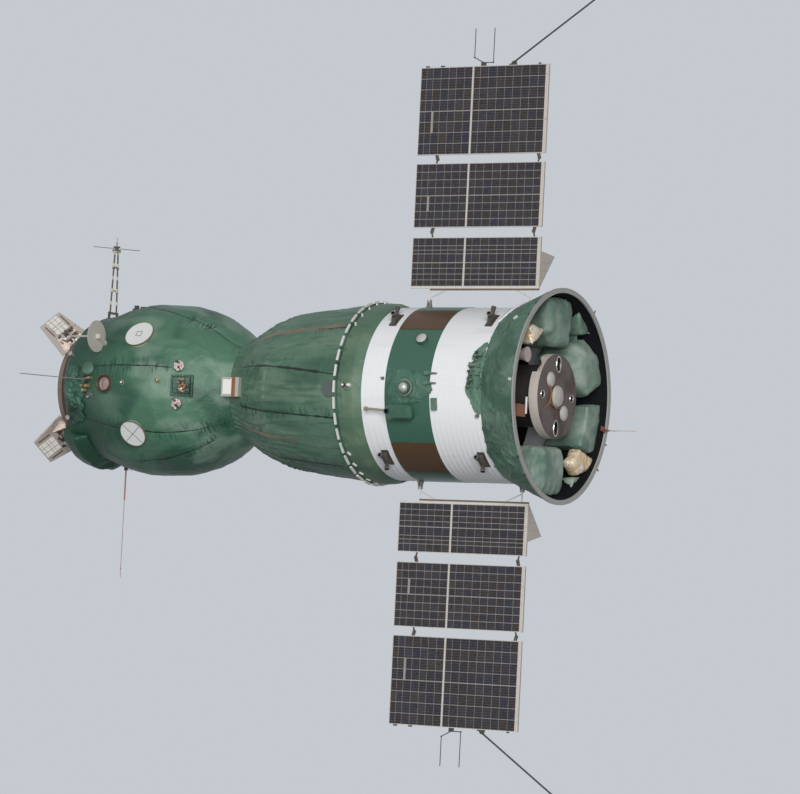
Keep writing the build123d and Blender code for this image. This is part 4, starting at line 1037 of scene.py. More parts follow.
@dataclass
class Outline:
    """Radius of a hull along its length, read from its solid and rounded off."""

    stations: np.ndarray
    radii: np.ndarray

    @staticmethod
    def of(node: str, start: float, end: float, soften: float = 0.045, step: float = 0.01) -> "Outline":
        """Read a solid's outline.

        Args:
            node: the solid's name.
            start: first station.
            end: last station.
            soften: how far the corners are rounded, in metres.
            step: spacing of the readings.

        Returns:
            The outline.
        """
        tree = search_tree(frame["nodes"][node].data)
        stations = np.arange(start, end + step / 2, step)
        radii = []
        for station in stations:
            outside = Vector((min(max(station, start + MM), end - MM), -3, 0))
            radii.append(-tree.ray_cast(outside, Vector((0, 1, 0)))[0].y)
        radii = np.array(radii)
        reach = int(3 * soften / step)
        weights = np.exp(-0.5 * (np.arange(-reach, reach + 1) * step / soften) ** 2)
        slope_start, slope_end = radii[1] - radii[0], radii[-1] - radii[-2]
        before = radii[0] + slope_start * np.arange(-reach, 0)
        after = radii[-1] + slope_end * np.arange(1, reach + 1)
        padded = np.concatenate([before, radii, after])
        return Outline(stations, np.convolve(padded, weights / weights.sum(), mode="valid"))

    @staticmethod
    def straight(radius: float) -> "Outline":
        """Outline with the same radius everywhere."""
        return Outline(np.array([-1.0, 0.0]), np.array([radius, radius]))

    def radius(self, station: float) -> float:
        """Radius at a station."""
        return float(np.interp(station, self.stations, self.radii))

    def steps(self) -> np.ndarray:
        """Lengths from reading to reading."""
        return np.hypot(np.diff(self.stations), np.diff(self.radii))

    def area(self) -> float:
        """Area of the surface that the outline sweeps."""
        return float((2 * math.pi * (self.radii[1:] + self.radii[:-1]) / 2 * self.steps()).sum())

    def length(self) -> float:
        """Length along the outline."""
        return float(self.steps().sum())


@dataclass
class Blanket:
    """Insulation blanket stretched over a round hull, sewn along seams and held at its fittings.

    Lift, drape, fold, gather and pleat_height are heights of the cloth in metres, step is its grid's
    spacing, hold_reach how far round a fitting the cloth is held down, and wing_room the share of its
    height that it loses under the wings, where the sine of the angle is over wing_sine.
    """

    name: str
    outline: Outline
    seams: tuple[Seam, ...]
    held_by: tuple[str, ...]
    lift: float = 0.010
    drape: float = 0.010
    fold: float = 0.006
    gather: float = 0.006
    pleats: int = 0
    pleat_height: float = 0.0
    pleat_end: float = 0.0
    step: float = 0.018
    hold_reach: float = 0.09
    wing_room: float = 0.0
    wing_sine: float = 0.84
    wing_fade: float = 0.08
    seed: float = 0.0

    def seam_points(self) -> KDTree:
        """Points along the seams, close together.

        Returns:
            Search tree over them, or over one far away where there is no seam.
        """
        points = []
        count = 60
        for seam in self.seams:
            for (x, a), (x1, a1) in zip(seam, seam[1:]):
                for step in range(count + 1):
                    share = step / count
                    station = x + (x1 - x) * share
                    points.append(hull_point(station, self.outline.radius(station), a + (a1 - a) * share))
        tree = KDTree(max(len(points), 1))
        for index, point in enumerate(points or [Vector((99, 99, 99))]):
            tree.insert(point, index)
        tree.balance()
        return tree

    def height(self, point: Vector, station: float, angle: float, seam: float, hold: float) -> float:
        """How far the cloth stands over the outline.

        Args:
            point: the place on the outline.
            station: its station.
            angle: its angle in radians.
            seam: distance from the nearest seam.
            hold: distance from the nearest fitting.

        Returns:
            The height in metres.
        """
        shift = Vector((self.seed, self.seed * 0.7, -self.seed))
        warp = noise.noise_vector(point * 1.3 + shift) * 0.35
        soft = noise.noise(point * 2.1 + shift)
        lengthwise = Vector((point.x * 1.6, point.y * 3.4, point.z * 3.4))
        ridge = 1 - abs(noise.noise(lengthwise + warp * 3 + shift)) * 2
        crosswise = Vector((point.x * 4.2, point.y * 2.2, point.z * 2.2))
        cross = 1 - abs(noise.noise(crosswise + warp * 4)) * 2
        small = noise.noise(point * 9.0 + shift)
        tall = self.drape * soft + self.fold * (max(ridge, 0) ** 5 + 0.6 * max(cross, 0) ** 6 - 0.4)
        tall += 0.0025 * small
        if self.pleats and station < self.pleat_end:
            fade = min(1.0, (self.pleat_end - station) / 0.9)
            around = Vector((station * 1.1, math.cos(angle) * 2.2, math.sin(angle) * 2.2))
            wave = math.cos(self.pleats * angle + 5.0 * noise.noise(around))
            strength = 0.35 + 0.9 * abs(noise.noise(around * 2.3 + shift))
            tall += self.pleat_height * fade * strength * (1 - 2 * abs(wave) ** 0.7)
        under_wing = min(max((abs(math.sin(angle)) - self.wing_sine) / self.wing_fade, 0.0), 1.0)
        tall *= 1 - self.wing_room * under_wing
        press = math.exp(-((seam / 0.035) ** 2))
        ticks = noise.noise(Vector((point.x * 26, point.y * 3, point.z * 3)) + shift)
        pucker = self.gather * math.exp(-((seam / 0.13) ** 2)) * ticks
        free = min(1.0, hold / self.hold_reach) ** 1.5
        tall = tall * (1 - 0.85 * press) - 0.006 * press + pucker
        return max(0.002, self.lift + tall * free - (1 - free) * 0.006)

    def build(self, finish: Finish, slot: Slot, front_radius: float = 0.0) -> bpy.types.Object:
        """Make the blanket's mesh.

        Args:
            finish: the cloth.
            slot: the record's slot.
            front_radius: where the cloth folds in over the front face, 0 for not at all.

        Returns:
            The blanket.
        """
        holders = [frame["nodes"][node].data for node in self.held_by]
        tree = search_tree(*holders) if holders else None
        seams = self.seam_points()
        stations, radii = self.outline.stations, self.outline.radii
        way = np.concatenate([[0], np.cumsum(self.outline.steps())])
        rows_at = np.linspace(0, way[-1], int(way[-1] / self.step) + 1)
        columns = int(2 * math.pi * radii.max() / self.step)
        spine = [(float(np.interp(w, way, stations)), float(np.interp(w, way, radii))) for w in rows_at]
        if front_radius:
            station, radius = spine[0]
            count = int((radius - front_radius) / self.step)
            inward = [(station, front_radius + (radius - front_radius) * i / count) for i in range(count)]
            spine = inward + spine
        rows, closeness = [], []
        for index, (station, radius) in enumerate(spine):
            ahead = spine[min(index + 1, len(spine) - 1)]
            back = spine[max(index - 1, 0)]
            along = Vector((ahead[0] - back[0], ahead[1] - back[1])).normalized()
            row = []
            for column in range(columns):
                angle = 2 * math.pi * column / columns
                c, s = math.cos(angle), math.sin(angle)
                point = Vector((station, -radius * c, radius * s))
                near = seams.find(point)[2]
                closeness.append(math.exp(-((near / 0.11) ** 2)))
                hold = tree.find_nearest(point, 0.3)[3] if tree else None
                tall = self.height(point, station, angle, near, 1.0 if hold is None else hold)
                normal = Vector((-along.y, -c * along.x, s * along.x))
                row.append(point + normal * tall)
            rows.append(row)
        form = Form()
        form.grid(rows, closed=True)
        piece = form.build(self.name, [finish], slot, sharp=SMOOTH)
        piece.data.attributes.new("seam", "FLOAT", "POINT").data.foreach_set("value", closeness)
        return piece

    def declare(self, piece: bpy.types.Object) -> None:
        """Work out the flat size and area of the cloth, and keep neither.

        Args:
            piece: the blanket; not used.
        """
        flat = (round(2 * math.pi * float(self.outline.radii.max()), 2), round(self.outline.length(), 2))
        round(self.outline.area(), 2)


def tape(form: Form, cloth: BVHTree, seam: Seam, width: float, finish: int = 0,
         ragged: float = 0.0) -> None:
    """Strip of tape that lies on a blanket along a seam.

    Args:
        form: the mesh to add to.
        cloth: search tree over the blanket.
        seam: stations and angles that it follows.
        width: its width.
        finish: which finish it takes.
        ragged: how much its width varies, as a share.
    """
    centres = []
    for (x, a), (x1, a1) in zip(seam, seam[1:]):
        count = max(int(abs(x1 - x) / 0.03), 3)
        centres += [(x + (x1 - x) * i / count, a + (a1 - a) * i / count) for i in range(count)]
    centres.append(seam[-1])
    rows = []
    for index, (station, angle) in enumerate(centres):
        ahead = centres[min(index + 1, len(centres) - 1)]
        back = centres[max(index - 1, 0)]
        run, climb = ahead[0] - back[0], math.radians(ahead[1] - back[1])
        size = math.hypot(run, climb)
        row = []
        wide = width * max(0.6, 1 + 2 * ragged * noise.noise(Vector((station * 11, angle * 0.3, 0.4))))
        for offset in (-1, -0.5, 0, 0.5, 1):
            shift = offset * wide / 2
            point = hull_point(station - climb / size * shift, 2.0, angle + math.degrees(run / size * shift))
            inward = Vector((0, -point.y, -point.z)).normalized()
            hit, normal, _, _ = cloth.ray_cast(point, inward)
            if hit:
                row.append(hit - inward * (0.0035 if abs(offset) < 1 else 0.001))
        if len(row) == 5:
            rows.append(row)
    form.grid(rows, finish=finish)


@dataclass
class Crumple:
    """Loose crumpled cloth on the hull with a ragged free edge.

    It reaches from its root's station to a free edge, between a low and a high angle. Lift, folds and
    swell are heights in metres, ragged how far the edge wanders.
    """

    name: str
    root: float
    reach: float
    low: float
    high: float
    lift: float = 0.014
    folds: float = 0.020
    ragged: float = 0.05
    swell: float = 0.0
    rows: int = 28
    columns: int = 64

    def build(self, outline: Outline, finish: Finish, slot: Slot) -> bpy.types.Object:
        """Make the cloth.

        Args:
            outline: radius of the hull under it.
            finish: the cloth.
            slot: the record's slot.

        Returns:
            The cloth.
        """
        rows = []
        sign = 1 if self.reach > 0 else -1
        last = self.columns - 1
        for row in range(self.rows):
            share = row / (self.rows - 1)
            points = []
            for column in range(self.columns):
                angle = self.low + (self.high - self.low) * column / last
                bay = math.sin(math.pi * column / last) ** 0.5
                tear = noise.noise(Vector((angle * 0.13, 1.7, self.root)))
                tear += 0.4 * noise.noise(Vector((angle * 0.5, 0, 2)))
                station = self.root + (self.reach * (0.25 + 0.75 * bay) + sign * self.ragged * tear) * share
                fray = abs(noise.noise(Vector((angle * 0.17, 4.1, 0))))
                station += sign * 1.4 * self.ragged * fray * (1 - share)
                spot = hull_point(station, outline.radius(station), angle)
                edge = math.sin(math.pi * share) * bay
                rise = self.lift + self.folds * noise.noise(spot * 7.0) * edge + self.swell * edge
                rise += 0.6 * self.folds * (1 - 2 * abs(noise.noise(spot * 13.0))) * edge
                points.append(hull_point(station, outline.radius(station) + max(0.004, rise), angle))
            rows.append(points)
        form = Form()
        form.grid(rows)
        return form.build(self.name, [finish], slot, sharp=SMOOTH)


@dataclass
class Pack:
    """Soft blanket-wrapped pack puffed up from its solid.

    The solid is remeshed at the voxel size and drawn in by the inset, then each point may puff out by
    the cap. Crumple is the height of its folds, grain their turns a metre.
    """

    node: str
    voxel: float = 0.022
    inset: float = 0.012
    cap: float = 0.012
    crumple: float = 0.008
    grain: float = 6.0
    pressure: float = 4.0
    last_step: int = 15

    def build(self, name: str, finish: Finish, slot: Slot) -> bpy.types.Object:
        """Remesh the solid, puff it up as cloth under pressure and crumple it.

        Args:
            name: the piece's name.
            finish: its cloth.
            slot: the record's slot; not used.

        Returns:
            The pack.
        """
        source = frame["nodes"][self.node]
        piece = bpy.data.objects.new(name, source.data.copy())
        bpy.context.scene.collection.objects.link(piece)
        remesh = piece.modifiers.new("remesh", "REMESH")
        remesh.mode = "VOXEL"
        remesh.voxel_size = self.voxel
        relax = piece.modifiers.new("relax", "SMOOTH")
        relax.factor = 0.5
        relax.iterations = 6
        self.apply(piece)
        self.push(piece, lambda point: -self.inset)
        self.simulate(piece)
        self.push(piece, self.crumpled)
        mesh = piece.data
        mesh.materials.clear()
        mesh.materials.append(finish.material())
        mesh.polygons.foreach_set("use_smooth", [True] * len(mesh.polygons))
        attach(piece, Body.HULL.value)
        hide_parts(self.node)
        log.info("%s: %d faces", name, len(mesh.polygons))
        return piece

    def crumpled(self, point: Vector) -> float:
        """Height of the folds at a point."""
        folds = 0.5 - abs(noise.noise(point * self.grain)) * 2
        return self.crumple * (folds + 0.6 * noise.noise(point * self.grain * 0.4))

    @staticmethod
    def apply(piece: bpy.types.Object) -> None:
        """Turn a piece's modifiers into its mesh.

        Args:
            piece: the piece.
        """
        graph = bpy.context.evaluated_depsgraph_get()
        mesh = bpy.data.meshes.new_from_object(piece.evaluated_get(graph))
        piece.modifiers.clear()
        piece.data = mesh

    @staticmethod
    def push(piece: bpy.types.Object, height: Callable[[Vector], float]) -> None:
        """Move each point along its normal.

        Args:
            piece: the piece.
            height: how far a point moves, worked out from its place.
        """
        normals = [v.normal.copy() for v in piece.data.vertices]
        for vertex, normal in zip(piece.data.vertices, normals):
            vertex.co += normal * height(vertex.co)
        piece.data.update()

    def simulate(self, piece: bpy.types.Object) -> None:
        """Puff the pack up as cloth under pressure.

        Args:
            piece: the pack, of which no point moves further than the cap.
        """
        rest = [v.co.copy() for v in piece.data.vertices]
        cloth = piece.modifiers.new("cloth", "CLOTH")
        cloth.settings.use_pressure = True
        cloth.settings.uniform_pressure_force = self.pressure
        cloth.settings.effector_weights.gravity = 0.0
        scene = bpy.context.scene
        for number in range(1, self.last_step + 1):
            scene.frame_set(number)
        self.apply(piece)
        scene.frame_set(1)
        for vertex, start in zip(piece.data.vertices, rest):
            move = vertex.co - start
            if move.length > self.cap:
                vertex.co = start + move * (self.cap / move.length)
        piece.data.update()


# Modules of the hull


@dataclass
class OrbitalModule:
    """Front module: round blanket-covered cabin with a window, plates and lamps."""

    front: float = -6.930
    waist: float = -4.500
    fold_in_radius: float = 0.795
    window_station: float = -6.144
    plate_station: float = -5.775
    strip_station: float = -4.325
    seams: tuple = (
        ((-6.86, 12.6), (-5.20, 12.6)),
        ((-6.57, -26.6), (-5.57, -32.4), (-4.55, -39.9)),
        ((-5.91, -59.8), (-4.80, -53.4)),
        ((-6.30, 76.0), (-5.42, 59.7), (-5.03, 58.6), (-4.52, 53.5)),
        ((-6.86, 167.4), (-5.20, 167.4)),
        ((-6.57, -153.4), (-4.55, -140.1)),
        ((-5.91, -120.0), (-4.80, -126.6)),
        ((-6.30, 104.0), (-5.42, 120.3), (-4.52, 126.5)),
    )
    plates: tuple = ((36.0, 0.200), (-34.0, 0.186), (144.0, 0.200), (-146.0, 0.186))

    def build(self) -> None:
        """Build the blanket, its seams and the dressed fittings."""
        outline = Outline.of("orbital_module", self.front, self.waist)
        held = ("porthole_rim", "hull_plates", "hull_fittings", "attitude_sensor", "periscope",
                "mast_bracket", "whip_bracket", "rod_antenna")
        blanket = Blanket("orbital_blanket", outline, self.seams, held, seed=1.7)
        cloth = blanket.build(HULL_CLOTH, Slot.HULL_BLANKET, self.fold_in_radius)
        tree = search_tree(cloth.data)
        form = Form()
        for seam in self.seams:
            tape(form, tree, seam, 0.015, 0, 0.4)
        lap = Crumple("front_lap", -6.915, 0.38, -34.0, 15.0, 0.026, 0.072, 0.13).build(
            outline, DARK_CLOTH, Slot.DARK_BLANKET)
        threads = form.build("orbital_seams", [THREAD], Slot.DARK_BLANKET, sharp=SMOOTH)
        blanket.declare(cloth)
        dress(HULL_CLOTH, "orbital_module")
        dress(SILVER, "periscope")
        dress(WHITE, "hull_plates")
        dress(OLIVE, "porthole_rim")
        dress(PANE, "porthole_glass")
        dress(SHINY, "hull_fittings")
        dress(DARK_CLOTH, "attitude_sensor")
        dress(DARK_GREY, "hatch_bracket", "mast_bracket", "whip_bracket")
        dress(GREY, "tunnel_hatch", "rod_antenna")
        self.window()
        self.lamps()
        self.plate_marks()
        self.sensor_box()
        Pack("equipment_cover", 0.026, 0.014, 0.014, 0.016, 4.0).build(
            "equipment_cover_blanket", HULL_CLOTH, Slot.HULL_BLANKET)

    def window(self) -> None:
        """Inner ring and bolts round the window."""
        place = seat(self.window_station, ORBITAL_R, 0.0)
        form = Form()
        inner = [(0.090, 0.010), (0.090, 0.028), (0.100, 0.033), (0.110, 0.030), (0.113, 0.012)]
        form.lathe(place, inner, 48)
        for bolt in ring(0.123, 16, 0.022):
            form.lathe(place @ Matrix.Translation(bolt), [(0.005, 0.0), (0.005, 0.006), (TIP, 0.006)], 6, 1)
        form.build("window_ring", [RED_RIM, STEEL], Slot.RIM_RED, 0.001)

    def lamps(self) -> None:
        """Lamps, small knobs and gilded cups on the near side, and a row of boxes on top."""
        form = Form()
        for station, angle, radius, size in ((-5.858, 0.7, ORBITAL_R, 0.022), (-5.325, 2.3, 1.10, 0.018)):
            place = seat(station, radius + 0.012, angle)
            form.lathe(place, [(size * 1.5, 0.0), (size * 1.5, 0.004), (size * 1.15, 0.006)], 20)
            form.ball(place @ Vector((0, 0, size)), size, 1)
        chance = random.Random(11)
        for station, angle in ((-5.091, 14.0), (-5.101, -13.0)):
            place = seat(station, 1.010, angle, 20.0)
            form.lathe(place, [(0.070, 0.0), (0.066, 0.040), (TIP, 0.046)], 20, 3)
            for step in range(16):
                turn, reach = step * 2.4, 0.016 * math.sqrt(step)
                rise = 0.042 + 0.018 * chance.random()
                lump = place @ Vector((reach * math.cos(turn), reach * math.sin(turn), rise))
                # Every fourth lump is dark grey: painted shadow among the pink lumps.
                form.ball(lump, 0.012 + 0.010 * chance.random(), 3 if step % 4 == 2 else 2, 5)
        for station, angle, radius, size, kind in (
                (-6.50, 5.6, 1.040, 0.026, 3), (-6.44, -1.6, 1.052, 0.024, 0), (-6.47, 2.0, 1.046, 0.024, 3),
                (-6.50, -4.6, 1.038, 0.026, 0), (-6.46, -7.4, 1.046, 0.020, 3), (-6.40, 4.0, 1.058, 0.018, 0),
                (-6.53, -1.4, 1.030, 0.018, 0), (-5.34, 3.4, 1.09, 0.012, 0)):
            knob = [(size, 0.0), (size, 0.05), (size * 0.7, 0.062), (size * 0.7, 0.08), (TIP, 0.082)]
            form.lathe(seat(station, radius, angle), knob, 16, kind)
        for shift, tilt in ((-0.05, 60), (0.0, 20), (0.05, -50)):
            foot = turned(seat(-5.335 + shift * 0.6, 1.095, 3.0), tilt, "Y")
            form.tube([foot @ Vector((0, 0, 0)), foot @ Vector((0, 0, 0.07))], 0.009, 8, 0)
        mound = [(0.090, 0.0), (0.086, 0.022), (0.060, 0.034), (TIP, 0.040)]
        form.lathe(seat(-6.47, 1.052, 11.0), mound, 28, 4)
        top = seat(-6.40, 1.062, 90.0)
        for x, y, z, size in ((0.0, 0.0, 0.0, (0.20, 0.05, 0.03)), (-0.05, 0.0, 0.03, (0.05, 0.04, 0.04)),
                              (0.05, 0.01, 0.03, (0.08, 0.03, 0.025))):
            form.box(moved(top, x, y, z), size, 3)
        form.build("hull_lamps", [GOLD, SHINY, LENS_PINK, DARK_GREY, BELL_CLOTH], Slot.BRIGHT_METAL)

    def plate_marks(self) -> None:
        """Gilt rims of the round covers, a square outline on the upper ones and a cross on the lower."""
        form = Form()
        for angle, radius in self.plates:
            place = seat(self.plate_station, ORBITAL_R, angle)
            rim, face = radius + 0.002, 0.018
            form.lathe(place, [(rim, -0.010), (rim, face), (rim - 0.006, 0.020), (rim - 0.008, 0.016)], 64)
            if angle > 0:
                for turn in (0, 90, 180, 270):
                    form.box(moved(turned(place, turn, "Z"), 0.038, 0, face), (0.005, 0.081, 0.002), 1)
            else:
                for turn in (40, 130):
                    form.box(moved(turned(place, turn, "Z"), 0, 0, face), (radius * 1.9, 0.006, 0.002), 1)
        form.build("plate_marks", [RIM_GOLD, MARK_GREY], Slot.BROWN_COVER)

    def sensor_box(self) -> None:
        """Gilded works of the attitude sensor, the strip across the periscope and its white face."""
        form = Form()
        place = seat(-5.035, 1.040, 0.0, 20.0)
        chance = random.Random(5)
        for _ in range(26):
            spot = Matrix.Translation((chance.uniform(-0.02, 0.085), chance.uniform(-0.08, 0.08), 0.0))
            spin = Matrix.Rotation(chance.uniform(-0.9, 0.9), 4, "Z")
            tilt = Matrix.Rotation(chance.uniform(-0.3, 0.3), 4, "X")
            size = (chance.uniform(0.02, 0.05), chance.uniform(0.02, 0.05), chance.uniform(0.02, 0.06))
            form.box(place @ spot @ (spin @ tilt), size, chance.choice((0, 1, 1, 2, 3, 3, 1)), 0.8)
        strip = Matrix.Translation((self.strip_station, -0.862, 0))
        form.box(turned(strip, 90, "X"), (0.05, 0.256, 0.006), 3)
        for side in (-1, 1):
            edge = Matrix.Translation((self.strip_station, -0.80, side * 0.126))
            form.box(edge, (0.05, 0.12, 0.004 * side), 3)
        form.box(turned(Matrix.Translation((-4.42, -0.861, 0)), 90, "X"), (0.13, 0.19, 0.005), 4)
        form.build("sensor_works", [GOLD, RIM_GOLD, SOOT, RUST, PAD_WHITE], Slot.BROWN_COVER, 0.001)


@dataclass
class DescentModule:
    """Bell-shaped cabin under a pleated blanket, laced to the section behind it.

    Stitched holds the numbers of the seams that are sewn, taped the numbers and tape widths of the rest.
    """

    front: float = -4.500
    rear: float = -2.650
    pleats: int = 24
    seams: tuple = (
        ((-4.25, 19.0), (-2.69, 8.0)),
        ((-4.256, -17.5), (-2.69, -20.0)),
        ((-4.255, 46.5), (-2.72, 44.8)),
        ((-4.36, -38.3), (-3.35, -39.2)),
        ((-4.25, 161.0), (-2.69, 172.0)),
        ((-4.25, -162.5), (-2.69, -160.0)),
        ((-4.25, 133.5), (-2.72, 135.2)),
        ((-4.10, -62.0), (-2.80, -60.0)),
    )
    stitched: tuple = (0, 1, 4, 5, 7)
    taped: tuple = ((2, 0.085), (3, 0.050), (6, 0.085))

    def build(self) -> None:
        """Build the blanket, its stitched seams, brown tapes, a strip of painted shadow under one tape, and
        the lacing.
        """
        outline = Outline.of("descent_module", self.front, self.rear)
        blanket = Blanket("descent_blanket", outline, self.seams, ("periscope", "half_plate"),
                          pleats=self.pleats, pleat_height=0.020, pleat_end=-2.8, gather=0.003, seed=4.1)
        cloth = blanket.build(BELL_CLOTH, Slot.HULL_BLANKET)
        tree = search_tree(cloth.data)
        form = Form()
        for index, width in self.taped:
            tape(form, tree, self.seams[index], width, 0, 0.25)
        for index in self.stitched:
            tape(form, tree, self.seams[index], 0.022, 1, 0.6)
        # A dark thread-coloured strip just under the rear end of the wide upper tape: the tape's painted
        # shadow.
        tape(form, tree, ((-3.15, 44.4), (-2.90, 43.4), (-2.70, 43.0)), 0.030, 1, 0.5)
        sewn = form.build("descent_tapes", [SEAM_TAPE, THREAD], Slot.BROWN_COVER, sharp=SMOOTH)
        blanket.declare(cloth)
        dress(HULL_CLOTH, "descent_module")
        dress(PLATE_TONE, "half_plate")
        dress(DARK_CLOTH, "lacing_ring")
        dress(CLIPS, "lacing_clips")


@dataclass
class DockingUnit:
    """Collar, padded cuff, guide ring with petals and rods."""

    ring_front: float = -7.178
    petal_root: float = 0.645
    flare: float = 48.5
    petal_angles: tuple = (60.0, -60.0, 180.0)
    petal_face: float = 0.028

    def build(self) -> None:
        """Dress the collar and the guide and add the pad plates."""
        dress(BARE, "docking_collar", "guide_ring")
        dress(PETAL_METAL, "guide_petals")
        dress(STEEL, "guide_rods", "rod_sleeves")
        dress(TARGET_PAINT, "docking_target")
        Pack("collar_blanket", 0.018, 0.008, 0.010, 0.012, 9.0).build(
            "collar_cuff", DARK_CLOTH, Slot.DARK_BLANKET)
        self.pads()
        self.knuckles()

    def petal_place(self, angle: float) -> Matrix:
        """Place of a petal's root edge.

        Args:
            angle: the petal's angle round the hull.

        Returns:
            Local x round the ring, y up the flare and z off the petal's outer face.
        """
        turn, flare = math.radians(angle), math.radians(self.flare)
        c, s = math.cos(turn), math.sin(turn)
        up = Vector((-math.cos(flare), -math.sin(flare) * c, math.sin(flare) * s))
        side = Vector((0, s, c))
        out = side.cross(up)
        origin = hull_point(self.ring_front, self.petal_root, angle)
        return Matrix.Translation(origin) @ Matrix((side, up, out)).transposed().to_4x4()

    def pads(self) -> None:
        """Bright plates on the petals' pads, patches and bolts beside them."""
        form = Form()
        chance = random.Random(3)
        for angle in self.petal_angles:
            place = self.petal_place(angle)
            for share in (0.62, 0.86):
                for column in (-1, 0, 1):
                    spot = moved(place, column * 0.09, share * 0.5, self.petal_face + 0.006)
                    form.box(spot, (0.076, 0.112, 0.004))
                    form.box(moved(spot, 0, 0.018, 0.004), (0.076, 0.004, 0.001), 3)
            for x in (-0.205, 0.205):
                form.box(moved(place, x * (1 - 0.2 * 0.36), 0.36, self.petal_face), (0.022, 0.18, 0.004), 1)
            for _ in range(34):
                spot = moved(place, chance.uniform(-0.17, 0.17), chance.uniform(0.06, 0.235), self.petal_face)
                size = (chance.uniform(0.02, 0.08), chance.uniform(0.015, 0.05), chance.uniform(0.004, 0.016))
                spin = Matrix.Rotation(chance.uniform(-0.8, 0.8), 4, "Z")
                form.box(spot @ spin, size, chance.choice((0, 1, 1, 3, 3)))
            form.ball(place @ Vector((0.04, 0.05, 0.05)), 0.032, 2)
            for x in (-0.26, 0.26):
                for y in (0.10, 0.22, 0.34):
                    spot = moved(place, x * (1 - 0.25 * y), y, self.petal_face)
                    form.lathe(spot, [(0.008, 0.0), (0.008, 0.006), (TIP, 0.007)], 6, 2)
        form.build("petal_plates", [PAD_WHITE, PETAL_SHADE, SHINY, DARK_GREY], Slot.BRIGHT_METAL, 0.0008,
                   body=Body.GUIDE)

    def knuckles(self) -> None:
        """Polished balls on the knuckles of the guide rods."""
        form = Form()
        for angle in (40.0, 80.0, 160.0, 200.0, 280.0, 320.0):
            form.ball(hull_point(-7.088, 0.684, angle), 0.022)
        form.build("guide_knuckles", [SHINY], Slot.BRIGHT_METAL, body=Body.GUIDE)


